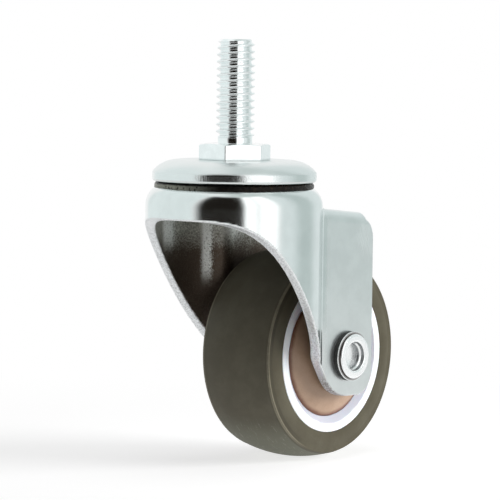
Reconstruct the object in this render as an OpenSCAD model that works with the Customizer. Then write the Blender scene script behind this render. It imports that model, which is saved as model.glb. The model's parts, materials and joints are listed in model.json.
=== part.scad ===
// Swivel furniture castor with a threaded stem, a pressed one-piece fork and a soft-tyred wheel.
// Origin: on the stem's axis, at the top face of the hexagon collar, which seats on the furniture.
// Axes: +Z up along the stem, +X the way the wheel trails, Y along the axle.

/* [Stem] */
// Major diameter of the thread, five sixteenths of an inch
thread_d = 7.94; // [7.2:0.1:8.8]
// Length of the stem above its collar
thread_len = 21.2; // [15:0.5:32]
// Chamfer at the tip of the thread
tip_chamfer = 0.9; // [0.4:0.1:1.4]
// Diameter of the plain neck under the thread
neck_d = 7.1; // [6.4:0.1:7.8]
// Height of the plain neck, with the thread's run-out
neck_h = 2; // [2:0.1:3.5]
// Width of the hexagon collar across its flats
collar_af = 13.1; // [11.5:0.1:15]
// Height of the hexagon collar
collar_h = 3.3; // [2.4:0.1:5]
// Width of the collar's round seat beyond its flats
collar_seat_extra = 0.3; // [0.1:0.1:0.8]
// Angle of the collar's first flat from the X axis
collar_turn = -5; // [-30:1:30]
// Diameter of the shank that runs down through the swivel
shank_d = 8; // [7:0.1:8.8]
// Diameter of the peened end of the shank
peen_d = 11.4; // [10:0.1:12.6]
// Height of the peened end
peen_h = 1.1; // [0.8:0.1:1.4]

/* [Top cap] */
// Outer diameter of the cap's band
cap_d = 33.5; // [32:0.1:35]
// Height of the cap from its rim to its flat top
cap_h = 4.4; // [4:0.1:4.8]
// Height of the straight band
band_h = 1.9; // [1.4:0.1:2.2]
// Diameter of the flat top
cap_flat_d = 23.4; // [22:0.1:25]
// Thickness of the cap's sheet
cap_t = 1.8; // [1.5:0.1:2]

/* [Swivel races] */
// Diameter of the balls above the crown
upper_ball_d = 3.97; // [3.7:0.01:4.2]
// Diameter of the circle of the upper balls
upper_race_d = 24; // [23.2:0.1:24.4]
// Diameter of the balls below the crown
lower_ball_d = 2.5; // [2.3:0.1:2.8]
// Diameter of the circle of the lower balls
lower_race_d = 16; // [15.4:0.1:16.6]
// Depth of the lower ball tracks
lower_track = 0.35; // [0.2:0.05:0.5]
// Outer diameter of the lower race cup
lower_cup_d = 22.4; // [21.4:0.1:23.4]
// Thickness of the lower race cup
lower_cup_t = 1.5; // [1.2:0.1:1.7]
// Height of the rim on the lower race cup
lower_cup_rim = 1.2; // [0.8:0.1:1.6]
// Radius of the lower race cup's outer edge
lower_cup_round = 0.5; // [0.3:0.1:0.7]
// Outer diameter of the retaining washer
washer_d = 15; // [13.6:0.1:17]
// Thickness of the retaining washer
washer_t = 0.8; // [0.6:0.1:1]
// Free space between a ball and its tracks
ball_clear = 0.06; // [0.04:0.01:0.08]
// Least gap between one ball and the next
ball_gap = 0.12; // [0.06:0.02:0.3]

/* [Grease] */
// Distance of the grease bead's outer edge in from the crown's side
grease_back = 1.75; // [1.4:0.05:2.2]
// Width of the grease bead
grease_w = 2.1; // [1.6:0.1:2.4]
// Free space between the grease bead and the cap's rim
grease_gap = 0.1; // [0.05:0.05:0.2]

/* [Fork] */
// Thickness of the fork's sheet
fork_t = 2.2; // [1.8:0.1:2.4]
// Outer diameter of the crown
crown_d = 36.2; // [35.4:0.1:37.4]
// Gap between the cap's rim and the flat of the crown
crown_gap = 0.5; // [0.4:0.05:0.7]
// Radius of the crown's top edge
crown_edge = 4.4; // [4:0.1:4.6]
// Diameter of the crown's centre hole
crown_hole_d = 11; // [10:0.1:12]
// Depth of the roof's line below the flat of the crown, at the stem's axis
roof_drop = 3.6; // [3:0.1:4.6]
// Fall of the roof towards the rear, in degrees
roof_fall = 5.5; // [3:0.5:7]
// Radius of the bend between the roof and a leg
roof_bend = 2.6; // [2.5:0.1:3.4]
// Radius of the valley between the crown and a leg
valley_r = 1.7; // [1.2:0.1:2.2]
// Depth of the mouth's upper edge below the flat of the crown
mouth_drop = 6.9; // [6.2:0.1:8]
// Distance from the axle to the rear edge of the roof
roof_rear = 5.8; // [5:0.1:6.6]
// Distance from the axle to the rear edge of the legs
leg_rear = 7.9; // [7:0.1:9]
// Distance from the axle to the lower edge of the legs
leg_low = 8.4; // [7.6:0.1:9.4]
// Radius of the legs' rear corners
leg_corner = 4.7; // [4:0.1:5.6]
// Depth of a leg's upper corner below the roof's line
corner_sink = 0.9; // [0.5:0.1:1.4]
// Free space at each side between the wheel's rim and a leg
side_room = 2.1; // [1.8:0.1:2.6]

/* [Mouth] */
// Distance of the edge's start behind the front of the crown
lip_inset = 0.65; // [0.5:0.05:1.2]
// Length over which the edge stays nearly level at the front
lip_level = 12; // [10:0.5:13.5]
// Distance from the axle forward to the waist of the edge
waist_x = 10.3; // [9.6:0.1:11.2]
// Height of the waist above the axle
waist_h = 1; // [0.4:0.1:1.8]
// Slope of the edge at the waist, in degrees
waist_slope = 38.5; // [34:0.5:44]
// Pull of the waist on the edge above it
waist_pull_up = 10.8; // [9.5:0.1:12]
// Pull of the waist on the edge below it
waist_pull_down = 5.8; // [5:0.1:6.4]
// Distance from the axle forward to the end of the edge
toe_x = 2; // [1.3:0.1:2.6]
// Length over which the edge runs level into the lower end of the leg
toe_level = 8.8; // [8:0.1:9.4]

/* [Wheel] */
// Outer diameter of the tyre
wheel_d = 44; // [42:0.5:46]
// Horizontal distance from the stem's axis to the axle
trail = 21.5; // [20.5:0.5:23]
// Free height between the tyre and the cap's rim
wheel_room = 14.2; // [13.6:0.2:16]
// Width of the tyre at its shoulders
tyre_w = 17.6; // [16.6:0.1:18]
// Radius of the tyre's shoulders
shoulder_r = 1.1; // [0.8:0.1:1.6]
// Radius of the crowned tread across its width
crown_r = 27.7; // [24:0.5:36]
// Width of the white rim
rim_w = 18.1; // [17.7:0.1:18.6]
// Outer diameter of the white rim
rim_d = 32.5; // [31:0.1:34]
// Width of the rim's flat ring
rim_flat = 1.85; // [1.4:0.05:2.2]
// Diameter of the recess that holds a dust cover
cover_d = 26; // [25.4:0.1:26.6]
// Depth of the dust cover's edge below the rim's face
cover_sink = 1.05; // [0.8:0.05:1.3]
// Height of a dust cover's dome above its edge
dome_h = 2.4; // [2:0.1:2.6]
// Wall of a dust cover
cover_t = 1; // [0.8:0.1:1.2]
// Diameter of the hole in a dust cover
cover_hole_d = 10.8; // [10.2:0.1:11.6]
// Depth of a dust cover's snap ring
cover_snap = 1.6; // [1.2:0.1:2]
// Depth of the tyre's grip groove in the rim
grip_depth = 0.9; // [0.6:0.1:1.2]
// Width of the tyre's grip groove
grip_w = 14.6; // [12:0.1:15.4]
// Thickness of the web between the rim and the hub
web_t = 4; // [3:0.1:5]
// Wall of the hub round the bearings
hub_wall = 1.5; // [1.2:0.1:1.7]

/* [Wheel bearings] */
// Diameter of the wheel's balls
wheel_ball_d = 3.17; // [3:0.01:3.3]
// Diameter of the circle of the wheel's balls
wheel_race_d = 14.3; // [14.1:0.1:14.6]
// Depth of the ball tracks in the races
wheel_track = 0.6; // [0.4:0.05:0.7]
// Width of the bearing races
race_w = 4.4; // [4:0.1:4.8]
// Thickness of an outer race behind its track
race_back = 0.8; // [0.6:0.1:1]
// Gap between the end of the hub and the dust cover over it
hub_gap = 0.2; // [0.1:0.05:0.4]

/* [Axle] */
// Diameter of the rivet that is the axle
rivet_d = 7; // [6.4:0.1:7.2]
// Diameter of the hole in the rivet's rolled end
rivet_hole_d = 5.2; // [4.8:0.1:5.6]
// Depth of the hole in the rivet's rolled end
rivet_hole_depth = 1.8; // [1.6:0.1:2.6]
// Diameter of the mouth of that hole
rivet_mouth_d = 5.8; // [5.7:0.1:6.2]
// Depth of the mouth before it narrows to the hole
rivet_mouth_depth = 0.85; // [0.6:0.05:1]
// Diameter of the rivet's heads
head_d = 10.2; // [9.6:0.1:11]
// Height of the rivet's heads
head_h = 1.25; // [1:0.05:1.5]
// Radius of the edges of a head
head_round = 0.5; // [0.3:0.05:0.6]
// Rise of the plain head's dome
head_dome = 0.25; // [0.1:0.05:0.4]
// Outer diameter of the spacer sleeve
sleeve_d = 9; // [8.8:0.1:9.6]
// Gap between pieces that are pushed over each other
slip = 0.02; // [0.01:0.01:0.04]

/* [Hidden] */
$fn = 96;

zinc = [0.80, 0.84, 0.84];
steel = [0.62, 0.64, 0.65];
grease_brown = [0.16, 0.11, 0.07];
tyre_grey = [0.36, 0.35, 0.29];
white = [0.93, 0.94, 0.94];
brown = [0.55, 0.38, 0.30];

// Heights of the swivel, counted down from the seat
cap_top_z = -collar_h;
cap_rim_z = cap_top_z - cap_h;
crown_z = cap_rim_z - crown_gap;
crown_under_z = crown_z - fork_t;
roof_z = crown_z - roof_drop;
mouth_z = crown_z - mouth_drop;

// Upper race: the balls sit as deep in the cap as in the crown
upper_ball_r = upper_ball_d / 2;
cap_under_z = cap_top_z - cap_t;
upper_ball_z = (cap_under_z + crown_z) / 2;
upper_race_r = upper_race_d / 2;

// Lower race
lower_ball_r = lower_ball_d / 2;
lower_race_r = lower_race_d / 2;
lower_ball_z = crown_under_z + lower_track - lower_ball_r - ball_clear;
lower_cup_z = lower_ball_z - lower_ball_r - ball_clear + lower_track;
washer_z = lower_cup_z - lower_cup_t;
shank_end_z = washer_z - washer_t;

// The domed shoulder of the cap is an arc that starts level at the flat top
cap_r = cap_d / 2;
shoulder_run = cap_r - cap_flat_d / 2;
shoulder_fall = cap_h - band_h;
shoulder_arc = (shoulder_run * shoulder_run + shoulder_fall * shoulder_fall) / (2 * shoulder_fall);

// Wheel and axle
wheel_r = wheel_d / 2;
axle_z = cap_rim_z - wheel_room - wheel_r;
rim_r = rim_d / 2;
rim_half = rim_w / 2;
tyre_half = tyre_w / 2;
cover_r = cover_d / 2;
cover_edge = rim_half - cover_sink;
cover_top = cover_edge + dome_h;
cover_edge_r = cover_r - slip;
cover_hole_r = cover_hole_d / 2;
rivet_r = rivet_d / 2;
head_r = head_d / 2;
sleeve_r = sleeve_d / 2;
wheel_ball_r = wheel_ball_d / 2;
wheel_race_r = wheel_race_d / 2;
track_out = wheel_race_r + wheel_ball_r + ball_clear;
outer_race_r = track_out + race_back;
hub_r = outer_race_r + hub_wall;

// A dust cover is part of a sphere through its edge and through the edge of its hole.
// The hub ends just under it, and the bearings end with the hub.
dome_z = (pow(cover_edge_r, 2) - pow(cover_hole_r, 2) + pow(cover_edge, 2) - pow(cover_top, 2))
    / (2 * (cover_edge - cover_top));
dome_r = sqrt(pow(cover_edge_r, 2) + pow(cover_edge - dome_z, 2));
hub_end = dome_z + sqrt(pow(dome_r - cover_t, 2) - pow(hub_r, 2)) - hub_gap;
race_mid = hub_end - race_w / 2;

// Fork
crown_out_r = crown_d / 2;
leg_in = rim_half + side_room;
leg_out = leg_in + fork_t;
leg_rear_x = trail + leg_rear;
leg_low_z = axle_z - leg_low;
valley_x = sqrt(pow(crown_out_r + valley_r, 2) - pow(leg_out + valley_r, 2));

// The mouth's edge, seen from the side, is two cubic curves: from the front of the crown down
// to the waist of the leg, and from the waist round to the lower edge under the axle.
lip_start = [-crown_out_r + lip_inset, mouth_z];
lip_waist = [trail - waist_x, axle_z + waist_h];
lip_end = [trail - toe_x, leg_low_z];
lip_steps = 14;

function cubic(a, b, c, d, t) =
    a * pow(1 - t, 3) + 3 * b * t * pow(1 - t, 2) + 3 * c * t * t * (1 - t) + d * pow(t, 3);

waist_way = [cos(waist_slope), -sin(waist_slope)];
upper_lip = [for (i = [0 : lip_steps]) cubic(lip_start, lip_start + [lip_level, 0],
    lip_waist - waist_pull_up * waist_way, lip_waist, i / lip_steps)];
lower_lip = [for (i = [1 : lip_steps]) cubic(lip_waist, lip_waist + waist_pull_down * waist_way,
    lip_end - [toe_level, 0], lip_end, i / lip_steps)];

// Puts a piece that is modelled on the Z axis onto the axle, with its near side towards -Y
module on_axle() {
    translate([trail, 0, axle_z]) rotate([90, 0, 0]) children();
}

// Places a piece of the wheel's near side on the far side
module far_side() {
    mirror([0, 0, 1]) children();
}

// A ring of balls: as many as fit on the circle
module ball_ring(race_r, ball_r, height) {
    count = floor(180 / asin((ball_r + ball_gap / 2) / race_r));
    for (i = [0 : count - 1]) {
        rotate([0, 0, 360 * i / count]) translate([race_r, 0, height]) sphere(r = ball_r);
    }
}

// A torus-shaped track that clears the balls of a ring
module ball_track(race_r, ball_r, height) {
    rotate_extrude() translate([race_r, height]) circle(r = ball_r + ball_clear);
}

// A rectangle from two corners
module span(x0, y0, x1, y1) {
    translate([x0, y0]) square([x1 - x0, y1 - y0]);
}

module threaded_stem() {
    thread_r = thread_d / 2;
    shank_r = shank_d / 2;
    color(zinc) {
        rotate_extrude() {
            polygon([[0, -collar_h], [neck_d / 2, -collar_h], [neck_d / 2, neck_h],
                [thread_r, neck_h + (thread_d - neck_d) / 2], [thread_r, thread_len - tip_chamfer],
                [thread_r - tip_chamfer, thread_len], [0, thread_len]]);
        }
        // Only the collar's upper corners are chamfered
        intersection() {
            rotate([0, 0, collar_turn + 30]) translate([0, 0, -collar_h])
                cylinder(r = collar_af / sqrt(3), h = collar_h, $fn = 6);
            rotate_extrude() polygon([[0, -collar_h], [collar_af, -collar_h],
                [collar_af, -collar_h / 2], [(collar_af + collar_seat_extra) / 2, 0], [0, 0]]);
        }
        translate([0, 0, shank_end_z]) cylinder(r = shank_r, h = -collar_h - shank_end_z);
        // The peened end is a flat dome
        translate([0, 0, shank_end_z - peen_h])
            cylinder(r1 = peen_d / 2 - peen_h, r2 = peen_d / 2, h = peen_h);
    }
}

// Half section of the cap's outer form, less an offset that follows the sheet
module cap_section(inset) {
    arc_z = cap_top_z - shoulder_arc;
    intersection() {
        union() {
            span(0, cap_rim_z - 1, cap_flat_d / 2, cap_top_z - inset);
            intersection() {
                translate([cap_flat_d / 2, arc_z]) circle(r = shoulder_arc - inset);
                span(cap_flat_d / 2, cap_rim_z - 1, cap_r - inset, cap_top_z);
            }
        }
        span(0, cap_rim_z - (inset > 0 ? 1 : 0), cap_r - inset, cap_top_z);
    }
}

module top_cap() {
    color(zinc) difference() {
        rotate_extrude() difference() {
            cap_section(0);
            cap_section(cap_t);
            span(0, cap_rim_z - 1, shank_d / 2 + slip, cap_top_z + 1);
        }
        ball_track(upper_race_r, upper_ball_r, upper_ball_z);
    }
}

module upper_balls() {
    color(steel) ball_ring(upper_race_r, upper_ball_r, upper_ball_z);
}

module lower_balls() {
    color(steel) ball_ring(lower_race_r, lower_ball_r, lower_ball_z);
}

module lower_race() {
    cup_r = lower_cup_d / 2;
    color(zinc) difference() {
        rotate_extrude() difference() {
            union() {
                span(0, washer_z, cup_r - lower_cup_round, lower_cup_z);
                span(cup_r - lower_cup_t, washer_z + lower_cup_round, cup_r, lower_cup_z + lower_cup_rim);
                translate([cup_r - lower_cup_round, washer_z + lower_cup_round]) circle(r = lower_cup_round);
            }
            span(0, washer_z - 1, shank_d / 2 + slip, lower_cup_z + 1);
        }
        ball_track(lower_race_r, lower_ball_r, lower_ball_z);
    }
}

module retaining_washer() {
    color(zinc) translate([0, 0, shank_end_z]) difference() {
        cylinder(d = washer_d, h = washer_t);
        translate([0, 0, -1]) cylinder(r = shank_d / 2 + slip, h = washer_t + 2);
    }
}

// The bead rests on the crown's round edge and stays clear of the cap's rim
module race_grease() {
    bead_r = crown_out_r - grease_back;
    bead_top = cap_rim_z - grease_gap;
    edge_z = crown_z - crown_edge;
    color(grease_brown) rotate_extrude() difference() {
        span(bead_r - grease_w, edge_z, bead_r, bead_top);
        translate([crown_out_r - crown_edge, edge_z]) circle(r = crown_edge + slip);
        span(0, edge_z - 1, crown_out_r - crown_edge, crown_z + slip);
    }
}

// Half section of the crown: a drum with a round top edge
module drum_section(inset) {
    edge = crown_edge - inset;
    drum_r = crown_out_r - inset;
    top = crown_z - inset;
    span(0, leg_low_z - 1, drum_r - edge, top);
    span(0, leg_low_z - 1, drum_r, top - edge);
    translate([drum_r - edge, top - edge]) circle(r = edge);
}

// Cross section of the saddle behind the crown: a roof with a leg at each side
module saddle_section(inset) {
    half = leg_out - inset;
    bend = roof_bend - inset;
    span(-half + bend, 2 * leg_low_z, half - bend, -inset);
    span(-half, 2 * leg_low_z, half, -inset - bend);
    for (side = [-1, 1]) {
        translate([side * (half - bend), -inset - bend]) circle(r = bend);
    }
}

// Plan of the valley between the drum and a leg, filled with a concave radius
module valley_section(inset) {
    for (side = [-1, 1]) {
        difference() {
            polygon([[0, 0], [valley_x, 0], [valley_x, side * (leg_out - inset)],
                [valley_x, side * (leg_out + valley_r)]]);
            translate([valley_x, side * (leg_out + valley_r)]) circle(r = valley_r + inset);
        }
    }
}

// The fork's outer form at inset 0, and its hollow at an inset of one sheet
module fork_form(inset) {
    reach = 1.5 * leg_rear_x;
    rotate_extrude() intersection() {
        drum_section(inset);
        span(0, leg_low_z - 1, crown_out_r, crown_z);
    }
    translate([0, 0, roof_z]) rotate([0, roof_fall, 0]) rotate([90, 0, 90])
        linear_extrude(height = reach) saddle_section(inset);
    valley_top = roof_z - roof_bend;
    translate([0, 0, leg_low_z - 1])
        linear_extrude(height = valley_top - leg_low_z + 1) valley_section(inset);
}

// Side view of what is left of the form: the crown's band, the lip and the legs
module side_view() {
    top = crown_z + 1;
    front = -crown_out_r - 1;
    corner_x = leg_rear_x - leg_corner;
    low_corner_z = leg_low_z + leg_corner;
    roof_corner_z = roof_z - tan(roof_fall) * corner_x - corner_sink - leg_corner;
    span(front, mouth_z, corner_x, top);
    span(corner_x - 0.01, roof_corner_z, trail + roof_rear, top);
    polygon(concat(upper_lip, lower_lip, [[lip_end[0], mouth_z]]));
    span(lip_end[0] - 0.01, leg_low_z, corner_x, mouth_z + 0.01);
    span(corner_x - 0.01, low_corner_z, leg_rear_x, roof_corner_z);
    translate([corner_x, low_corner_z]) circle(r = leg_corner);
    translate([corner_x, roof_corner_z]) circle(r = leg_corner);
}

module fork() {
    color(zinc) difference() {
        intersection() {
            difference() {
                fork_form(0);
                fork_form(fork_t);
            }
            rotate([90, 0, 0]) linear_extrude(height = 2 * crown_d, center = true) side_view();
        }
        translate([0, 0, crown_under_z - 1]) cylinder(d = crown_hole_d, h = fork_t + 2);
        ball_track(upper_race_r, upper_ball_r, upper_ball_z);
        ball_track(lower_race_r, lower_ball_r, lower_ball_z);
        on_axle() cylinder(r = rivet_r + slip, h = 2 * leg_out + 2, center = true);
    }
}

// Half section of a rivet head that stands on a leg, with a round edge
module head_section() {
    span(0, leg_out, head_r - head_round, leg_out + head_h);
    span(0, leg_out, head_r, leg_out + head_h - head_round);
    translate([head_r - head_round, leg_out + head_h - head_round]) circle(r = head_round);
}

// A semi-tubular rivet: its near end is rolled over, and its plain head is a flat dome
module axle_rivet() {
    face = leg_out + head_h;
    hole_r = rivet_hole_d / 2;
    mouth_r = rivet_mouth_d / 2;
    narrow = face - rivet_mouth_depth - (mouth_r - hole_r);
    dome_run = head_r - head_round;
    dome_arc = (dome_run * dome_run + head_dome * head_dome) / (2 * head_dome);
    color(zinc) on_axle() rotate_extrude() difference() {
        union() {
            span(0, -leg_out - 0.01, rivet_r, leg_out + 0.01);
            head_section();
            mirror([0, 1]) head_section();
            intersection() {
                translate([0, dome_arc - face - head_dome]) circle(r = dome_arc, $fn = 400);
                span(0, -face - head_dome, dome_run, -leg_out);
            }
        }
        polygon([[0, face + 1], [mouth_r, face + 1], [mouth_r, face - rivet_mouth_depth],
            [hole_r, narrow], [hole_r, face - rivet_hole_depth], [0, face - rivet_hole_depth]]);
    }
}

module axle_sleeve() {
    color(steel) on_axle() difference() {
        cylinder(r = sleeve_r, h = 2 * leg_in, center = true);
        cylinder(r = rivet_r + slip, h = 2 * leg_in + 2, center = true);
    }
}

// The tyre's half section: crowned tread, round shoulders, sides that lean in to the rim
module tyre_section() {
    shoulder_x = -crown_r + wheel_r + sqrt(pow(crown_r, 2) - pow(tyre_half - shoulder_r, 2)) - shoulder_r;
    intersection() {
        translate([wheel_r - crown_r, 0]) circle(r = crown_r);
        span(shoulder_x, shoulder_r - tyre_half, wheel_r, tyre_half - shoulder_r);
    }
    for (side = [-1, 1]) {
        translate([shoulder_x, side * (tyre_half - shoulder_r)]) circle(r = shoulder_r);
    }
    polygon([[rim_r - grip_depth, -tyre_half], [rim_r, -rim_half], [shoulder_x, -tyre_half],
        [shoulder_x, tyre_half], [rim_r, rim_half], [rim_r - grip_depth, tyre_half]]);
}

// The white core's half section: rim, web and hub
module core_section() {
    flat_r = rim_r - rim_flat;
    for (side = [0, 1]) mirror([0, side]) {
        polygon([[cover_r, 0], [rim_r - grip_depth, 0], [rim_r - grip_depth, grip_w / 2],
            [rim_r, grip_w / 2], [rim_r, rim_half], [flat_r, rim_half], [cover_r, cover_edge]]);
        span(outer_race_r, 0, hub_r, hub_end);
    }
    span(outer_race_r - race_back, race_w - hub_end, hub_r, hub_end - race_w);
    span(hub_r - 0.01, -web_t / 2, cover_r + 0.01, web_t / 2);
}

module tyre() {
    color(tyre_grey) on_axle() rotate_extrude() difference() {
        tyre_section();
        core_section();
    }
}

module wheel_core() {
    color(white) on_axle() rotate_extrude() core_section();
}

// A shallow dome with a hole in the middle and a ring that snaps into the rim
module dust_cover() {
    color(brown) rotate_extrude() {
        difference() {
            intersection() {
                translate([0, dome_z]) circle(r = dome_r, $fn = 400);
                span(cover_hole_r, cover_edge - cover_t, cover_edge_r, cover_top + 1);
            }
            translate([0, dome_z]) circle(r = dome_r - cover_t, $fn = 400);
        }
        span(cover_edge_r - cover_t, cover_edge - cover_snap, cover_edge_r, cover_edge);
    }
}

module inner_race() {
    color(steel) translate([0, 0, race_mid]) difference() {
        cylinder(r = wheel_race_r - wheel_ball_r - ball_clear + wheel_track, h = race_w, center = true);
        cylinder(r = sleeve_r + slip, h = race_w + 2, center = true);
        ball_track(wheel_race_r, wheel_ball_r, 0);
    }
}

module outer_race() {
    color(steel) translate([0, 0, race_mid]) difference() {
        cylinder(r = outer_race_r - slip, h = race_w, center = true);
        cylinder(r = track_out - wheel_track, h = race_w + 2, center = true);
        ball_track(wheel_race_r, wheel_ball_r, 0);
    }
}

module wheel_balls() {
    color(steel) ball_ring(wheel_race_r, wheel_ball_r, race_mid);
}

threaded_stem();
top_cap();
upper_balls();
lower_balls();
lower_race();
retaining_washer();
race_grease();
fork();
axle_rivet();
axle_sleeve();
tyre();
wheel_core();
on_axle() dust_cover();  // near_dust_cover
on_axle() far_side() dust_cover();  // far_dust_cover
on_axle() inner_race();  // near_inner_race
on_axle() far_side() inner_race();  // far_inner_race
on_axle() wheel_balls();  // near_wheel_balls
on_axle() far_side() wheel_balls();  // far_wheel_balls
on_axle() outer_race();  // near_outer_race
on_axle() far_side() outer_race();  // far_outer_race
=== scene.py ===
"""Swivel furniture castor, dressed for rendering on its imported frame.

Lengths are in millimetres in the row frame: the origin is on the stem's axis at the top face of
the collar, +Z is up, the wheel trails towards +X and its near side faces -Y. The mesh builder
turns them into metres.
"""
import json
import logging
import math
from dataclasses import dataclass
from enum import Enum
from functools import cached_property, reduce
from typing import Sequence, Union

import bmesh
import bpy
import numpy as np
from mathutils import Matrix, Vector


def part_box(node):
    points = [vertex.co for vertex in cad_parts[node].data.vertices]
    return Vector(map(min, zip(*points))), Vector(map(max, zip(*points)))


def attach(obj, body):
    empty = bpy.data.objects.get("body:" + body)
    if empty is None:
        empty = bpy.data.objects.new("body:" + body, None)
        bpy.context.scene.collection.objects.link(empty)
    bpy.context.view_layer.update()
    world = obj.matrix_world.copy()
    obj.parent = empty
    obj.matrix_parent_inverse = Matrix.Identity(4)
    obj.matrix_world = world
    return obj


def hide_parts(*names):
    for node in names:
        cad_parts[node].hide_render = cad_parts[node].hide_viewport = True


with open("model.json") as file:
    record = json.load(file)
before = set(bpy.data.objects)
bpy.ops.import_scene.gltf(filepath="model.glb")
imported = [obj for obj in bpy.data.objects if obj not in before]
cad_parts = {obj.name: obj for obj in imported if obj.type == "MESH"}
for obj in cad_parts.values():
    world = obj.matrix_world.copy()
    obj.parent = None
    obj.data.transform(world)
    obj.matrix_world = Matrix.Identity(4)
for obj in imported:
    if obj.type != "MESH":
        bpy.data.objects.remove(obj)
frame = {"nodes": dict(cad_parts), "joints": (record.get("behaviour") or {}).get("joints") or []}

LOG = logging.getLogger("castor")
MM = 0.001
# Width in millimetres of the strip beside a rounding that keeps a flat flat when shaded, and the
# angle in degrees over which an edge of a turned form is shaded sharp.
FLAT_GUARD = 0.12
PROFILE_SHARP = 50.0

Triple = tuple[float, float, float]
Colour = Triple
Pair = tuple[float, float]
Material = bpy.types.Material
Array = np.ndarray


class Body(Enum):
    """The CAD bodies that pieces ride on."""

    STEM = "stem"
    FORK = "fork"
    WHEEL = "wheel"


class Side(Enum):
    """The two sides of the wheel; the value is the sign along the axle's own axis."""

    NEAR = 1
    FAR = -1


def smoothstep(x: Array, low: float, high: float) -> Array:
    """3t^2 - 2t^3 of t = (x - low) / (high - low), held between 0 and 1."""
    t = np.clip((x - low) / (high - low), 0.0, 1.0)
    return t * t * (3.0 - 2.0 * t)


def node_span(node: str, axis: int) -> tuple[float, float]:
    """Lowest and highest coordinate of a CAD node along one axis, in millimetres."""
    low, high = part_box(node)
    return low[axis] / MM, high[axis] / MM


def joint_place(name: str) -> Array:
    """Position of a joint of the frame, in millimetres."""
    found = next(j for j in frame["joints"] if j["name"] == name)
    return np.array(found["pos_m"], float) / MM


AXLE = joint_place("wheel_spin")
BLACK: Colour = (0.0, 0.0, 0.0)
WHITE: Colour = (1.0, 1.0, 1.0)


def waves(angle: Array, counts: Sequence[int], seed: int) -> Array:
    """Sum of cosines of the angle with whole wave counts, random phases and falling heights.

    Args:
        angle: Angles in radians.
        counts: How many waves each cosine makes in a turn.
        seed: Seed of the phases.

    Returns:
        Values between about -1 and 1, the same shape as angle.
    """
    phases = np.random.default_rng(seed).uniform(0, math.tau, len(counts))
    roots = [math.sqrt(i + 1) for i in range(len(counts))]
    total = sum(np.cos(n * angle + p) / root for n, p, root in zip(counts, phases, roots))
    return total / sum(1 / root for root in roots)


@dataclass(frozen=True)
class Corner:
    """A corner of a half section: radius from the axis, height along it and rounding."""

    r: float
    h: float
    round: float = 0.0


def filleted(corners: Sequence[Corner], closed: bool, step: float = 11.0) -> Array:
    """Outline through corners with their roundings as arcs.

    Each arc starts and ends where the circle of that radius touches the two straight lines. A
    further point lies just beyond both ends of an arc, so that the flats stay flat when shaded.

    Args:
        corners: The corners in order.
        closed: Whether the last corner joins the first.
        step: Largest turn from one point of an arc to the next, in degrees.

    Returns:
        Array of points, one (r, h) a row.
    """
    points = np.array([(c.r, c.h) for c in corners], float)
    count, out = len(points), []
    for i, corner in enumerate(corners):
        at_end = not closed and i in (0, count - 1)
        if corner.round <= 0 or at_end:
            out.append(points[i : i + 1])
            continue
        here = points[i]
        back, ahead = points[i - 1] - here, points[(i + 1) % count] - here
        room = np.linalg.norm(back), np.linalg.norm(ahead)
        back, ahead = back / room[0], ahead / room[1]
        half = math.acos(float(np.clip(back @ ahead, -1, 1))) / 2
        cut = corner.round / math.tan(half)
        centre = here + (back + ahead) / np.linalg.norm(back + ahead) * corner.round / math.sin(half)
        start, end = here + back * cut - centre, here + ahead * cut - centre
        sweep = math.atan2(start[0] * end[1] - start[1] * end[0], start @ end)
        first = math.atan2(start[1], start[0])
        steps = max(2, math.ceil(math.degrees(abs(sweep)) / step))
        angles = first + np.linspace(0, sweep, steps + 1)
        arc = centre + corner.round * np.stack([np.cos(angles), np.sin(angles)], 1)
        guard = np.minimum(FLAT_GUARD, (np.array(room) - cut) / 3)
        before = here + back * (cut + guard[0])
        after = here + ahead * (cut + guard[1])
        out.append(np.concatenate([before[None], arc, after[None]]))
    return np.concatenate(out)


@dataclass
class Shape:
    """Points in millimetres and the quads between them, as whole arrays."""

    points: Array
    quads: Array

    def joined(self, other: "Shape") -> "Shape":
        """This shape and another one as a single shape."""
        quads = np.concatenate([self.quads, other.quads + len(self.points)])
        return Shape(np.concatenate([self.points, other.points]), quads)


def grid_quads(rows: int, columns: int, shift: int = 0, closed: bool = False) -> Array:
    """Quads of a grid whose points are numbered row by row and whose columns go once round.

    Args:
        rows: Number of rows.
        columns: Number of columns.
        shift: How many rows higher the last column meets the first.
        closed: Whether the last row joins the first.

    Returns:
        Array of quads, four point numbers a row.
    """
    i, j = np.meshgrid(np.arange(rows if closed else rows - 1), np.arange(columns), indexing="ij")
    lift = np.where(j == columns - 1, shift, 0)
    i2, j2 = i + 1, (j + 1) % columns
    corners = [(i, j), (i + lift, j2), (i2 + lift, j2), (i2, j)]
    inside = i2 + lift < (rows + 1 if closed else rows)
    numbers = [((a % rows) * columns + b)[inside] for a, b in corners]
    return np.stack([n.ravel() for n in numbers], 1)


def rings(r: Array, t: Array, h: Array, shift: int = 0, closed: bool = False) -> Shape:
    """A grid of rings round Z: x = r cos t, y = r sin t, z = h.

    Args:
        r: Radii, one row a ring.
        t: Angles in radians, one a column.
        h: Heights, one row a ring.
        shift: How many rings higher the last column meets the first.
        closed: Whether the last ring joins the first.

    Returns:
        The shape.
    """
    r, t, h = np.broadcast_arrays(r, t, h)
    points = np.stack([r * np.cos(t), r * np.sin(t), h], -1)
    return Shape(points.reshape(-1, 3), grid_quads(*r.shape, shift, closed))


def even_turn(columns: int) -> Array:
    """Evenly spaced angles of one turn, in radians."""
    return np.arange(columns) * math.tau / columns


def revolved(profile: Array, columns: int, closed: bool) -> Shape:
    """A half section of (r, h) rows turned about Z."""
    return rings(profile[:, :1], even_turn(columns), profile[:, 1:], closed=closed)


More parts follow.
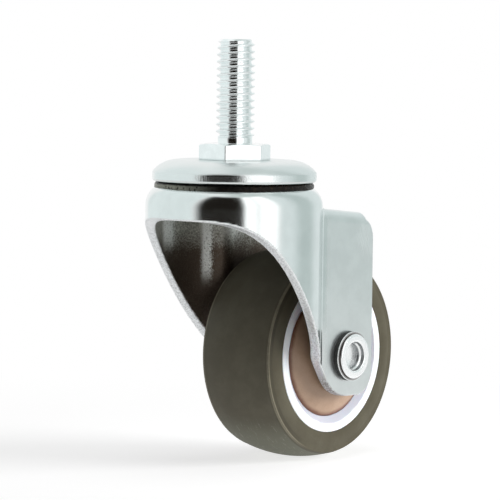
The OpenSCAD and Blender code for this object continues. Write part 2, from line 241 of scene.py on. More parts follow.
class Piece:
    """One mesh object of the castor, built from a shape."""

    def __init__(self, name: str, shape: Shape, weld: float = 1e-4, sharp: float = 40.0) -> None:
        """Makes the object.

        Args:
            name: Object name.
            shape: Its points and quads, in millimetres.
            weld: Distance under which points are merged, in millimetres.
            sharp: Angle in degrees over which an edge is shaded sharp.
        """
        self.name = name
        mesh = bpy.data.meshes.new(name)
        mesh.from_pydata((shape.points * MM).tolist(), [], shape.quads.tolist())
        self.obj = bpy.data.objects.new(name, mesh)
        bpy.context.scene.collection.objects.link(self.obj)
        if weld > 0:
            self._clean(weld * MM, math.radians(sharp))

    def _clean(self, weld: float, sharp: float) -> None:
        """Merges doubles, turns the normals outward and marks the sharp edges."""
        work = bmesh.new()
        work.from_mesh(self.obj.data)
        bmesh.ops.remove_doubles(work, verts=work.verts, dist=weld)
        bmesh.ops.dissolve_degenerate(work, edges=work.edges, dist=weld / 10)
        bmesh.ops.recalc_face_normals(work, faces=work.faces)
        for edge in work.edges:
            edge.smooth = not (len(edge.link_faces) == 2 and edge.calc_face_angle(0) > sharp)
        for face in work.faces:
            face.smooth = True
        work.to_mesh(self.obj.data)
        work.free()

    def attribute(self, name: str, values: Array) -> "Piece":
        """Stores a value at each point, for the material to read."""
        layer = self.obj.data.attributes.new(name, "FLOAT", "POINT")
        layer.data.foreach_set("value", values.astype(np.float32))
        return self

    def shaded(self, normals: Array) -> "Piece":
        """Shades the surface smooth with given point normals."""
        mesh = self.obj.data
        mesh.polygons.foreach_set("use_smooth", np.ones(len(mesh.polygons), bool))
        mesh.normals_split_custom_set_from_vertices(normals.tolist())
        return self

    def placed(self, body: Body, slot: str, material: Material, *nodes: str) -> "Piece":
        """Gives the piece its finish, its body and the CAD nodes that it stands for."""
        self.obj.data.materials.append(material)
        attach(self.obj, body.value)
        if nodes:
            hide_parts(*nodes)
        LOG.info("%s: %d faces", self.name, len(self.obj.data.polygons))
        return self


Value = Union[float, "Socket"]
Tint = Union[Colour, "Socket"]


class Socket:
    """An output of a shader node, with arithmetic that adds the maths nodes."""

    def __init__(self, tree: "Tree", output: bpy.types.NodeSocket) -> None:
        self.tree = tree
        self.output = output

    def __add__(self, other: Value) -> "Socket":
        return self.tree.maths("ADD", self, other)

    def __sub__(self, other: Value) -> "Socket":
        return self.tree.maths("SUBTRACT", self, other)

    def __rsub__(self, other: Value) -> "Socket":
        return self.tree.maths("SUBTRACT", other, self)

    def __mul__(self, other: Value) -> "Socket":
        return self.tree.maths("MULTIPLY", self, other)

    __radd__ = __add__
    __rmul__ = __mul__

    def magnitude(self) -> "Socket":
        """The value without its sign."""
        return self.tree.maths("ABSOLUTE", self)

    def least(self, other: Value) -> "Socket":
        """The smaller of the two values."""
        return self.tree.maths("MINIMUM", self, other)

    def most(self, other: Value) -> "Socket":
        """The larger of the two values."""
        return self.tree.maths("MAXIMUM", self, other)

    def swing(self, width: float) -> "Socket":
        """A value between 0 and 1 turned into one between -width / 2 and width / 2."""
        return (self - 0.5) * width

    def step(self, low: float, high: float) -> "Socket":
        """Smooth step from 0 at low to 1 at high; low may be the larger one."""
        span = {"From Min": min(low, high), "From Max": max(low, high)}
        span |= {"To Min": 1.0, "To Max": 0.0} if low > high else {}
        settings = {"interpolation_type": "SMOOTHSTEP"}
        return self.tree.node("ShaderNodeMapRange", settings, {"Value": self, **span})["Result"]


class Made:
    """A shader node that was added, whose outputs are read by name or number."""

    def __init__(self, tree: "Tree", node: bpy.types.Node) -> None:
        self.tree = tree
        self.node = node

    def __getitem__(self, name: Union[str, int]) -> Socket:
        return Socket(self.tree, self.node.outputs[name])


class Tree:
    """Builds the node tree of one material or world."""

    def __init__(self, owner: Union[Material, bpy.types.World]) -> None:
        owner.use_nodes = True
        self.tree = owner.node_tree
        self.tree.nodes.clear()

    def node(self, kind: str, settings: dict | None = None, inputs: dict | None = None) -> Made:
        """Adds a node.

        Args:
            kind: Node type.
            settings: Properties, set before the inputs.
            inputs: Input name or number to a number, a colour or a Socket.

        Returns:
            The node, whose outputs are read by name or number.
        """
        made = self.tree.nodes.new(kind)
        for name, value in (settings or {}).items():
            setattr(made, name, value)
        for name, value in (inputs or {}).items():
            if isinstance(value, Socket):
                self.tree.links.new(value.output, made.inputs[name])
            else:
                made.inputs[name].default_value = (*value, 1.0) if isinstance(value, tuple) else value
        return Made(self, made)

    def maths(self, operation: str, *values: Value) -> Socket:
        """A Math node of that operation."""
        return self.node("ShaderNodeMath", {"operation": operation}, dict(enumerate(values)))["Value"]

    @cached_property
    def place(self) -> tuple[Socket, Socket, Socket]:
        """The object coordinates of the shaded point, in millimetres."""
        vector = self.node("ShaderNodeTexCoord")["Object"]
        split = self.node("ShaderNodeSeparateXYZ", None, {"Vector": vector})
        return tuple(split[axis] * (1 / MM) for axis in "XYZ")

    @cached_property
    def here(self) -> Socket:
        """The same place as one vector."""
        return self.vector(*self.place)

    def vector(self, x: Value, y: Value, z: Value) -> Socket:
        """A vector from three values."""
        return self.node("ShaderNodeCombineXYZ", None, {"X": x, "Y": y, "Z": z})["Vector"]

    def noise(self, scale: float, detail: float, rough: float = 0.5,
              place: Socket | None = None) -> Socket:
        """Fractal noise between 0 and 1.

        Args:
            scale: Cells to a unit of the place.
            detail: How many finer layers it has.
            rough: Height of each layer against the one before it.
            place: Where it is read, else at the shaded point in millimetres.

        Returns:
            The noise's value.
        """
        place = self.here if place is None else place
        inputs = {"Vector": place, "Scale": scale, "Detail": detail, "Roughness": rough}
        return self.node("ShaderNodeTexNoise", None, inputs)["Fac"]

    def turn(self, x: Socket, y: Socket) -> Socket:
        """Angle of a place round the origin, in degrees."""
        return self.maths("ARCTAN2", y, x) * (180 / math.pi)

    def far(self, x: Socket, y: Socket) -> Socket:
        """Distance of a place from the origin."""
        return self.maths("SQRT", x * x + y * y)

    def from_axle(self) -> Socket:
        """Distance of the shaded point from the wheel's axis, in millimetres."""
        x, _, z = self.place
        return self.far(x - float(AXLE[0]), z - float(AXLE[2]))

    def stored(self, name: str) -> Socket:
        """A value that the mesh stores at its points."""
        return self.node("ShaderNodeAttribute", {"attribute_name": name})["Fac"]

    def mixed(self, share: Value, first: Tint, second: Tint) -> Socket:
        """The first colour at share 0 and the second one at share 1."""
        factor, colour_a, colour_b, mixture = 0, 6, 7, 2
        inputs = {factor: share, colour_a: first, colour_b: second}
        return self.node("ShaderNodeMix", {"data_type": "RGBA"}, inputs)[mixture]

    def mottled(self, share: Socket, dark: float, colour: Colour) -> Socket:
        """A colour where the share is 1, and dark times as bright where it is 0."""
        return self.mixed(share, dimmed(colour, dark), colour)

    def layers(self, ground: Tint, *coats: tuple[Value, Tint]) -> Socket:
        """A ground colour under coats, each laid over the last by its own share."""
        for share, coat in coats:
            ground = self.mixed(share, ground, coat)
        return ground

    def bump(self, height: Socket, depth: float = 1.0) -> Socket:
        """Normal of a height times a depth in millimetres."""
        inputs = {"Height": height, "Distance": depth * MM, "Strength": 1.0}
        return self.node("ShaderNodeBump", None, inputs)["Normal"]

    def surface(self, **inputs: object) -> None:
        """Ends the tree with a Principled shader; the keywords are its inputs with _ for a space."""
        named = {name.replace("_", " "): value for name, value in inputs.items()}
        shader = self.node("ShaderNodeBsdfPrincipled", None, named)["BSDF"]
        self.node("ShaderNodeOutputMaterial", None, {"Surface": shader})


def srgb(*values: float) -> Colour:
    """Linear colour of three 8-bit sRGB values."""
    v = np.array(values) / 255
    linear = np.where(v <= 0.04045, v / 12.92, ((v + 0.055) / 1.055) ** 2.4)
    return tuple(float(c) for c in linear)


def dimmed(colour: Colour, share: float) -> Colour:
    """A colour at a share of its brightness."""
    return tuple(c * share for c in colour)


@dataclass(frozen=True)
class Finish:
    """A material that is painted from where the shaded point lies.

    Attributes:
        name: Material name.
    """

    name: str

    def paint(self, tree: Tree) -> None:
        """Adds the nodes."""
        raise NotImplementedError

    def material(self) -> Material:
        """Makes the material."""
        made = bpy.data.materials.new(self.name)
        self.paint(Tree(made))
        return made


@dataclass(frozen=True)
class Zinc(Finish):
    """Bright zinc plating with a fine grain that breaks up its reflections.

    Attributes:
        tint: Linear colour of the metal.
        rough: Roughness of the smooth parts.
        grain: Cells of the grain to a millimetre.
        depth: Depth of the grain in millimetres.
        ripple: Depth in millimetres of the slow waviness of the sheet.
    """

    tint: Colour = (0.80, 0.84, 0.835)
    rough: float = 0.2
    grain: float = 3.0
    depth: float = 0.004
    ripple: float = 0.01

    def paint(self, tree: Tree) -> None:
        """Adds the nodes."""
        stain = tree.noise(0.35, 4.0, 0.6)
        fine = tree.noise(self.grain, 4.0, 0.65)
        slow = tree.noise(0.22, 2.0)
        tree.surface(
            Base_Color=tree.mottled(stain.step(0.35, 0.7), 0.93, self.tint), Metallic=1.0,
            Roughness=self.rough + stain.swing(0.1) + fine.swing(0.08),
            Normal=tree.bump(fine * self.depth + slow * self.ripple))


@dataclass(frozen=True)
class BandZinc(Zinc):
    """Zinc on the cap: duller above, and fine upright lines on its turned band.

    Attributes:
        lines: How many lines go round.
        line_depth: Depth of the lines in millimetres.
        band_top: Height of the band's upper edge in millimetres.
        edge: Half the height over which the band begins.
        dull: Roughness that the top has and the band hardly has.
    """

    lines: float = 110.0
    line_depth: float = 0.035
    band_top: float = -5.8
    edge: float = 0.1
    dull: float = 0.14

    def paint(self, tree: Tree) -> None:
        """Adds the nodes."""
        x, y, z = tree.place
        around = tree.vector(tree.turn(x, y) * (self.lines / 360), z * 0.25, 0.0)
        comb = tree.noise(2.2, 3.0, 0.75, around)
        fine = tree.noise(self.grain, 4.0, 0.65)
        on_band = z.step(self.band_top + self.edge, self.band_top - self.edge)
        tree.surface(
            Base_Color=tree.mottled(tree.noise(0.3, 3.0, 0.6), 0.94, self.tint), Metallic=1.0,
            Roughness=self.rough + self.dull - on_band * 0.12 + fine.swing(0.1),
            Normal=tree.bump(fine * self.depth + comb * on_band * self.line_depth))


@dataclass(frozen=True)
class ForkZinc(Zinc):
    """Zinc on the pressed fork: satin legs, sheared edges, and a dull inside with painted shade and
    highlights.

    Attributes:
        edge_tint: Linear colour of the sheared edge.
        inner_tint: Linear colour of the dull inside.
        streak_highlight: Linear colour of the painted highlight streaks inside.
        darkening: Linear colour of the painted shade low inside, and of the oil on the near leg's edge.
        inner_shade_z: Heights between which the painted shade grows, in millimetres.
        highlight_streaks: Angle, half width in degrees and lowest height of each painted highlight
            inside.
        streak_fade: Height over which a streak begins, in millimetres.
        streak_core: Share of a streak's half width that is fully lit.
        leg_x: Where the drum's bright plating turns into the legs' satin one, along x.
        oily_z: Heights between which oil grows on the near leg's cut edge.
        oily_x: Where it ends, along x.
        scuffed: Place of the scuffs on a leg, as x and z in millimetres.
        scuff_r: Distances from there between which they fade in.
    """

    edge_tint: Colour = (0.96, 0.98, 0.99)
    inner_tint: Colour = (0.66, 0.66, 0.60)
    streak_highlight: Colour = (0.97, 0.99, 0.96)
    darkening: Colour = (0.085, 0.055, 0.036)
    inner_shade_z: Pair = (-17.0, -24.0)
    highlight_streaks: tuple[Triple, ...] = (
        (61.0, 6.0, -31.0), (99.0, 11.0, -24.0), (41.0, 9.0, -22.5))
    streak_fade: float = 5.0
    streak_core: float = 0.3
    leg_x: Pair = (13.0, 14.5)
    oily_z: Pair = (-44.0, -50.0)
    oily_x: Pair = (22.0, 19.0)
    scuffed: Pair = (28.5, -19.0)
    scuff_r: Pair = (7.0, 2.0)

    def paint(self, tree: Tree) -> None:
        """Adds the nodes."""
        x, y, z = tree.place
        cut, within = tree.stored("cut"), tree.stored("within")
        stain = tree.noise(0.25, 4.0, 0.6)
        fine = tree.noise(self.grain, 4.0, 0.7)
        slow = tree.noise(0.18, 2.0)
        grit = tree.noise(2.8, 3.0, 0.8)
        # Painted highlights: lighter streaks inside, where the inner creases catch the light.
        around = tree.turn(x, y) + grit.swing(10)
        bands = [(around - middle).magnitude().step(width, width * self.streak_core)
                 * z.step(low, low + self.streak_fade) for middle, width, low in self.highlight_streaks]
        lit_streak = reduce(Socket.most, bands)
        # Painted shade: the inside darkens towards the bottom, outside the lit streaks.
        darkening = (z + grit.swing(7.0) + stain.swing(6.0)).step(*self.inner_shade_z) * (1.0 - lit_streak)
        inner = tree.layers(
            tree.mottled(grit.step(0.4, 0.62), 0.5, self.inner_tint),
            (lit_streak * grit.step(0.3, 0.5), self.streak_highlight), (darkening * 0.92, self.darkening))
        oily = (z + grit.swing(8.0)).step(*self.oily_z) * cut * x.step(*self.oily_x) * y.step(1.0, -1.0)
        rough = self.rough + x.step(*self.leg_x) * 0.2 + cut * 0.24 + within * 0.2
        lines = tree.noise(1.0, 2.0, 0.6, tree.vector(x * 3.4 + z * 1.2, x * 0.1 - z * 0.28, y * 0.1))
        near = tree.far(x - self.scuffed[0], z - self.scuffed[1]).step(*self.scuff_r) * (1.0 - within)
        height = fine * self.depth + slow * self.ripple * (1.0 - cut)
        height = height + grit * (cut * 0.03 + within * 0.06 + 0.003) + lines * near * 0.14
        tree.surface(
            Base_Color=tree.layers(
                tree.mottled(stain.step(0.3, 0.7), 0.94, self.tint), (within, inner),
                (cut, tree.mottled(grit.step(0.35, 0.6), 0.64, self.edge_tint)),
                (oily * grit.step(0.42, 0.55) * 0.8, self.darkening)),
            Metallic=1.0 - within * (0.2 + lit_streak * 0.2),
            Roughness=rough + fine.swing(0.1) + stain.swing(0.08), Normal=tree.bump(height))


@dataclass(frozen=True)
class RivetZinc(Zinc):
    """Zinc on the rivet: bright faces, and painted shade on the flange's side, the ring's side and the
    hole's wall.

    Attributes:
        flange_shade_tones: Linear colours of the painted shade on the flange's side and of its specks.
        ring_side_shade: Linear colour of the painted shade on the ring's side.
        shade: Linear colour of the painted shade on the hole's wall.
        flange: Radius of the flange and distance of its face from the middle plane.
        ring: Radius of the rolled ring and distance of its face from the middle plane.
        narrow: Radii between which the painted shade of the narrow part of the hole begins.
        wide: Radii between which the painted shade of its mouth ends.
        ledge: Depths below the ring's face that bound the unshaded step between both.
    """

    flange_shade_tones: tuple[Colour, Colour] = ((0.008, 0.008, 0.008), (0.13, 0.13, 0.12))
    ring_side_shade: Colour = (0.040, 0.028, 0.021)
    shade: Colour = (0.10, 0.11, 0.115)
    flange: Pair = (5.1, 14.6)
    ring: Pair = (4.65, 15.25)
    narrow: Pair = (2.5, 2.56)
    wide: Pair = (3.04, 2.98)
    ledge: tuple[float, float, float, float] = (1.22, 1.14, 0.82, 0.9)

    def paint(self, tree: Tree) -> None:
        """Adds the nodes."""
        fine = tree.noise(self.grain, 4.0, 0.65)
        speck = tree.noise(5.0, 3.0, 0.8)
        out, y = tree.from_axle(), tree.place[1]
        away, near = y.magnitude(), y.step(1.0, -1.0)
        flange_r, flange_h = self.flange
        ring_r, ring_h = self.ring
        ledge = [ring_h - depth for depth in self.ledge]
        # Painted shade: the flange's side is black with specks.
        flange_shade = out.step(flange_r - 0.06, flange_r - 0.02) * away.step(flange_h - 0.14, flange_h - 0.22)
        # Painted shade: the near ring's side is dark brown.
        brown = out.step(ring_r - 0.06, ring_r - 0.02) * away.step(flange_h - 0.04, flange_h + 0.02)
        brown = brown * away.step(ring_h - 0.1, ring_h - 0.18) * near
        # Painted shade on the wall of the hole.
        wall = out.step(*self.narrow) * out.step(*self.wide) * near
        wall = wall * away.step(ring_h - 0.05, ring_h - 0.25)
        wall = wall * (1.0 - away.step(*ledge[:2]) * away.step(*ledge[2:]))
        shaded_parts = flange_shade.most(brown)
        tree.surface(
            Base_Color=tree.layers(
                tree.mottled(fine, 0.95, self.tint),
                (flange_shade, tree.mixed(speck.step(0.56, 0.68), *self.flange_shade_tones)), (brown, self.ring_side_shade),
                (wall * 0.75, self.shade)),
            Metallic=0.75 - shaded_parts * 0.6, Roughness=self.rough + shaded_parts * 0.35 + fine.swing(0.1),
            Normal=tree.bump(fine, self.depth))


@dataclass(frozen=True)
class Steel(Finish):
    """Ground or drawn steel of the hidden balls, races and sleeve, under a patchy film of oil.

    Attributes:
        tint: Linear colour of the metal.
        rough: Roughness.
    """

    tint: Colour = (0.56, 0.57, 0.58)
    rough: float = 0.25

    def paint(self, tree: Tree) -> None:
        """Adds the nodes."""
        fine = tree.noise(4.0, 3.0)
        darkening = tree.noise(0.5, 3.0).step(0.45, 0.75)
        tree.surface(
            Base_Color=tree.mixed(darkening, self.tint, dimmed(self.tint, 0.7)), Metallic=1.0,
            Roughness=self.rough + fine.swing(0.15), Normal=tree.bump(fine, 0.004))


@dataclass(frozen=True)
class Rubber(Finish):
    """Matt moulded rubber of the tyre: a fine skin, a bloom, scuffs, and painted light and shade.

    Attributes:
        base: Linear colour.
        dusty: Linear colour of the bloom.
        painted_floor_light: Linear colour of the painted light from the floor on the lower tread.
        scuff: Linear colour of the scuffs.
        low_z: Heights between which the painted floor light and the scuffs grow, in millimetres.
        flank_y: Places across the tyre over which the painted floor light grows onto the tread.
        line: Linear colour of the painted highlight along the mould line.
        line_r: Radius of the mould line.
        line_x: Where it begins and where it is full, along x.
        ridge_shade: Distance inside the line of the painted shade beside it.
    """

    name: str = "tyre_rubber"
    base: Colour = (0.075, 0.066, 0.043)
    dusty: Colour = (0.097, 0.088, 0.060)
    painted_floor_light: Colour = (0.135, 0.138, 0.102)
    scuff: Colour = (0.27, 0.26, 0.22)
    low_z: Pair = (-55.0, -62.0)
    flank_y: Pair = (-8.6, -7.8)
    line: Colour = (0.215, 0.195, 0.14)
    line_r: float = 20.5
    line_x: Pair = (16.0, 7.0)
    ridge_shade: float = 0.75

    def paint(self, tree: Tree) -> None:
        """Adds the nodes."""
        x, y, z = tree.place
        bloom = tree.noise(0.16, 5.0, 0.65)
        skin = tree.noise(5.0, 3.0, 0.6)
        streak = tree.noise(1.1, 4.0, 0.7, tree.vector(x * 0.4, y * 2.2, z * 0.4))
        # Painted light from the floor: the lower tread is lighter.
        low = z.step(*self.low_z)
        scuffed = streak.step(0.59, 0.65) * y.step(-8.4, -7.6) * skin.step(0.35, 0.6)
        # Painted highlight along the mould line on the shoulder, with painted shade beside it.
        inward = tree.from_axle() * -1.0 + self.line_r
        flank = y.magnitude().step(8.3, 8.5) * x.step(*self.line_x)
        ridge_shade = (inward - self.ridge_shade).magnitude().step(0.6, 0.2)
        ridge_highlight = inward.magnitude().step(0.34, 0.12) * flank * bloom.step(0.2, 0.5)
        tree.surface(
            Base_Color=tree.layers(
                self.base, (bloom.step(0.35, 0.75), self.dusty),
                (low * y.step(*self.flank_y) * 0.8, self.painted_floor_light), (low * scuffed, self.scuff),
                (ridge_shade * flank * 0.7, dimmed(self.base, 0.6)), (ridge_highlight * 0.8, self.line)),
            Roughness=0.62 + skin.swing(0.15) + bloom.swing(0.12), Specular_IOR_Level=0.35,
            Normal=tree.bump(skin * 0.02 + bloom * 0.03))


@dataclass(frozen=True)
class Plastic(Finish):
    """Moulded plastic with a fine flow texture, whose colour changes from one radius on.

    Attributes:
        base: Linear colour.
        deep: Linear colour of the slightly darker clouds in it.
        rough: Roughness.
        skin: Depth in millimetres of the moulded skin.
        scatter: Share of light that passes under the surface.
        edge: Linear colour past that radius.
        edge_r: Radii between which that colour grows.
    """

    base: Colour
    deep: Colour
    rough: float = 0.3
    skin: float = 0.006
    scatter: float = 0.0
    edge: Colour = (0.16, 0.065, 0.035)
    edge_r: Pair = (11.9, 12.8)

    def paint(self, tree: Tree) -> None:
        """Adds the nodes."""
        cloud = tree.noise(0.3, 4.0, 0.6)
        fine = tree.noise(4.5, 3.0, 0.7)
        past = (tree.from_axle() + cloud.swing(1.0)).step(*self.edge_r)
        tree.surface(
            Base_Color=tree.layers(
                self.deep, (cloud, self.base), (fine.step(0.35, 0.7) * 0.35, self.deep),
                (past, self.edge)),
            Roughness=self.rough + fine.swing(0.2), Subsurface_Weight=self.scatter,
            Subsurface_Scale=0.8 * MM, Normal=tree.bump(fine, self.skin))


@dataclass(frozen=True)
class Grease(Finish):
    """Old bearing grease: nearly black and wet, and grey with plating dust on one side.

    Attributes:
        base: Linear colour of the grease.
        thin: Linear colour where it is thin.
        dust: Linear colour of the dusty stretch.
        stretch: First and last angle of the dusty stretch, in degrees from -X.
        low_z: Heights between which the dust grows, in millimetres.
        lump: Height in millimetres of the lumps.
    """

    name: str = "grease"
    base: Colour = (0.006, 0.004, 0.003)
    thin: Colour = (0.035, 0.024, 0.015)
    dust: Colour = (0.50, 0.51, 0.42)
    stretch: Pair = (-62.0, 20.0)
    low_z: Pair = (-7.75, -8.05)
    lump: float = 0.22

    def paint(self, tree: Tree) -> None:
        """Adds the nodes."""
        x, y, z = tree.place
        lumps = tree.noise(1.3, 4.0, 0.6)
        angle = tree.turn(x * -1.0, y * -1.0) + lumps.swing(30)
        first, last = self.stretch
        dusty = angle.step(last + 12, last - 30) * angle.step(first - 20, first)
        dusty = dusty * (z + lumps * 0.5).step(*self.low_z) * lumps.step(0.3, 0.5)
        tree.surface(
            Base_Color=tree.layers(self.base, (lumps.step(0.5, 0.8), self.thin), (dusty, self.dust)),
            Roughness=0.3 + lumps.swing(0.3), Specular_IOR_Level=0.14,
            Normal=tree.bump(lumps, self.lump))


@dataclass(frozen=True)
class StemSizes:
    """Sizes of the threaded stem."""

    thread_r: float = 3.97
    root_r: float = 3.2
    pitch: float = 1.411
    top_r: float = 3.8
    taper: Pair = (4.0, 0.5)
    tip_r: float = 3.07
    neck_r: float = 3.55
    neck_top: float = 1.15
    neck_lap: float = 0.3
    neck_fillet: float = 0.2
    runout: float = 0.75
    flats: float = 13.1
    corner_round: float = 0.3
    edge: float = 0.18
    seat_r: float = 6.7
    seat_guards: Pair = (0.6, 0.25)
    seat_sink: float = 0.01
    seat_slope: float = 0.258
    turn: float = -5.0
    shank_r: float = 4.0
    peen_r: float = 5.7
    peen_h: float = 1.1
    peen_cut: Pair = (0.15, 0.5)
    crest_share: float = 0.12
    root_share: float = 0.16
    sharp: float = 0.6
    phase: float = 0.35


class Stem:
    """The one-piece stem: thread, hexagon collar, shank and peened end.

    The columns go once round and the steps once along a pitch. The crowding draws the columns
    together at the collar's corners.
    """

    COLUMNS = 144
    STEPS = 22
    CROWD = 0.8

    def __init__(self, sizes: StemSizes) -> None:
        self.sizes = sizes
        self.low, self.top = node_span("threaded_stem", 2)
        self.collar_low = node_span("top_cap", 2)[1]
        side = np.arange(self.COLUMNS) * 6 / self.COLUMNS
        self.part = (side - self.CROWD * np.sin(math.tau * side) / math.tau) / 6
        self.angle = math.radians(sizes.turn + 30) + self.part * math.tau

    def _thread(self) -> Shape:
        """The thread as a grid of one turn that meets itself one pitch higher.

        The columns lie closer together near the collar's corners. A point (i, j) lies at height
        z = z0 + pitch (i / steps + turn of column j). Its radius is
        root + (thread - root) w, where w is a flattened triangle wave of i / steps, kept under
        the chamfer's cone and led into the neck by a smooth step of z.
        """
        s = self.sizes
        start = s.neck_top - 2 * s.pitch
        rows = int(math.ceil((self.top - start) / s.pitch + 1)) * self.STEPS + 1
        i = np.arange(rows)[:, None]
        z = start + s.pitch * (i / self.STEPS + self.part[None, :] - s.phase)
        wave = np.abs(2 * np.mod(i / self.STEPS, 1.0) - 1) + 0 * z
        rise = np.clip((wave - s.root_share) / (1 - s.root_share - s.crest_share), 0, 1)
        rise = s.sharp * rise + (1 - s.sharp) * rise * rise * (3 - 2 * rise)
        tapered = smoothstep(z, self.top - s.taper[0], self.top - s.taper[1])
        crest = s.thread_r - (s.thread_r - s.top_r) * tapered
        radius = s.root_r + (crest - s.root_r) * rise
        radius = np.minimum(radius, s.tip_r + np.maximum(self.top - z, 0))
        led = smoothstep(z, s.neck_top, s.neck_top + s.runout)
        radius = np.where(z >= self.top, s.tip_r, s.neck_r + (radius - s.neck_r) * led)
        return rings(radius, self.angle, np.clip(z, s.neck_top - s.neck_lap, self.top), self.STEPS)

    def _collar_and_shank(self) -> Shape:
        """Rings from the neck over the collar to the peened end.

        The collar's side has radius R = (flats / 2) / cos(a), where a is the angle from the
        nearest flat. Near a corner it is R = d cos(b) + sqrt(q^2 - d^2 sin(b)^2), a circle of
        radius q whose centre lies d out along the corner, at the angle b from it. Beyond the
        seat's circle the top falls with the distance.
        """
        s, low, peen = self.sizes, self.collar_low, self.low + self.sizes.peen_h
        sixth = math.pi / 6
        off = np.mod(self.angle - math.radians(s.turn) + sixth, 2 * sixth) - sixth
        side = s.flats / 2 / np.cos(off)
        out = (s.flats / 2 - s.corner_round) / math.cos(sixth)
        beside = out * np.sin(sixth - np.abs(off))
        arc = out * np.cos(sixth - np.abs(off)) + np.sqrt((s.corner_round**2 - beside**2).clip(0))
        side = np.where(beside < s.corner_round / 2, np.minimum(arc, side), side)
        edge = s.edge
        fall = -(side - s.seat_r).clip(0) * s.seat_slope
        fillet, sink = s.neck_fillet, s.seat_sink
        rims = [(s.neck_r, s.neck_top - s.neck_lap), (s.neck_r, fillet),
                (s.neck_r + fillet * 0.3, fillet * 0.3), (s.neck_r + fillet, 0.0),
                *((s.seat_r - guard, 0.0) for guard in s.seat_guards),
                (np.minimum(side - edge, s.seat_r), -sink), (side - edge, fall - sink),
                (side - edge * 0.3, fall - edge * 0.35), (side, fall - edge), (side, fall - edge * 2),
                (side, low + edge * 2), (side, low + edge), (side - edge * 0.3, low + edge * 0.3),
                (side - edge, low), (s.shank_r + s.neck_lap, low), (s.shank_r, low),
                (s.shank_r, peen), (s.peen_r, peen), (s.peen_r - s.peen_cut[0], peen - s.peen_cut[1]),
                (s.peen_r - s.peen_h, self.low), (0.0, self.low)]
        radius, height = (
            np.stack([np.broadcast_to(v, side.shape) for v in column]) for column in zip(*rims))
        return rings(radius, self.angle, height)

    def _tip(self) -> Shape:
        """The flat end of the thread, from its rim to the axis."""
        tip = self.sizes.tip_r
        return rings(np.array([[tip], [tip - FLAT_GUARD], [0.0]]), self.angle, self.top)

    def build(self, material: Material) -> Piece:
        """Makes the stem."""
        shape = self._thread().joined(self._collar_and_shank()).joined(self._tip())
        piece = Piece("stem_thread_and_collar", shape, weld=2e-3, sharp=PROFILE_SHARP)
        return piece.placed(Body.STEM, "stem_zinc", material, "threaded_stem")


@dataclass(frozen=True)
class CapSizes:
    """Sizes of the pressed top cap."""

    flat_r: float = 11.7
    band_h: float = 1.9
    band_lap: float = 0.3
    sheet: float = 1.8
    bore_r: float = 4.02
    track_r: float = 12.0
    track_ball: float = 2.045
    track_z: float = -6.65
    crease: float = 0.22
    crease_cut: Triple = (0.05, 0.035, 0.08)
    rim_h: float = 1.2
    rim_round: float = 0.6


class TopCap:
    """The pressed cup over the upper balls."""

    COLUMNS = 256

    def __init__(self, sizes: CapSizes) -> None:
        self.sizes = sizes
        self.rim, self.top = node_span("top_cap", 2)
        self.r = node_span("top_cap", 0)[1]

    def _profile(self) -> Array:
        """Half section: flat top, shoulder arc that starts level, straight band, and the inside.

        The shoulder's arc has radius (run^2 + fall^2) / (2 fall). The inside is the same form
        one sheet further in, deepened by the circle of the ball track.
        """
        s = self.sizes
        run, fall = self.r - s.flat_r, self.top - self.rim - s.band_h
        arc = (run * run + fall * fall) / (2 * fall)
        centre_z = self.top - arc
        end = math.asin(run / arc)
        turn = np.linspace(0, end - s.crease / arc, 22)
        shoulder = np.stack([s.flat_r + arc * np.sin(turn), centre_z + arc * np.cos(turn)], 1)
        band_top = self.rim + s.band_h
        crease = np.array([[self.r - s.crease_cut[0], band_top + s.crease_cut[1]],
                           [self.r, band_top - s.crease_cut[2]]])
        rim = filleted([Corner(self.r, band_top - s.band_lap), Corner(self.r, self.rim, s.rim_round),
                        Corner(self.r - s.sheet, self.rim, s.rim_round),
                        Corner(self.r - s.sheet, self.rim + s.rim_h)], closed=False)
        inner = arc - s.sheet
        inside = np.linspace(self.r - s.sheet, s.bore_r, 90)
        shoulder_in = centre_z + np.sqrt((inner**2 - (inside - s.flat_r) ** 2).clip(0))
        under = np.where(inside > s.flat_r, shoulder_in, self.top - s.sheet)
        track = s.track_z + np.sqrt((s.track_ball**2 - (inside - s.track_r) ** 2).clip(0))
        under = np.where(np.abs(inside - s.track_r) < s.track_ball, np.maximum(under, track), under)
        start = np.array([[r, self.top] for r in (s.bore_r, s.bore_r + 0.1, s.flat_r - 0.1)])
        return np.concatenate([start, shoulder, crease, rim, np.stack([inside, under], 1)])

    def build(self, material: Material) -> Piece:
        """Makes the cap."""
        piece = Piece("cap", revolved(self._profile(), self.COLUMNS, True), sharp=PROFILE_SHARP)
        return piece.placed(Body.STEM, "cap_zinc", material, "top_cap")


@dataclass(frozen=True)
class BeadSizes:
    """Sizes of the grease bead in the gap under the cap, with the crown's edge that it lies on."""

    inner_r: float = 14.3
    crown_edge: float = 4.4
    crown_r: float = 18.1
    crown_z: float = -8.2
    lift: float = 0.05
    half_h: float = 0.9
    square: float = 0.7
    ragged: float = 0.22
    lean: float = 0.09
    reach: float = 0.1
    counts: tuple[int, ...] = (3, 7, 13, 29, 53, 83)
    seed: int = 11


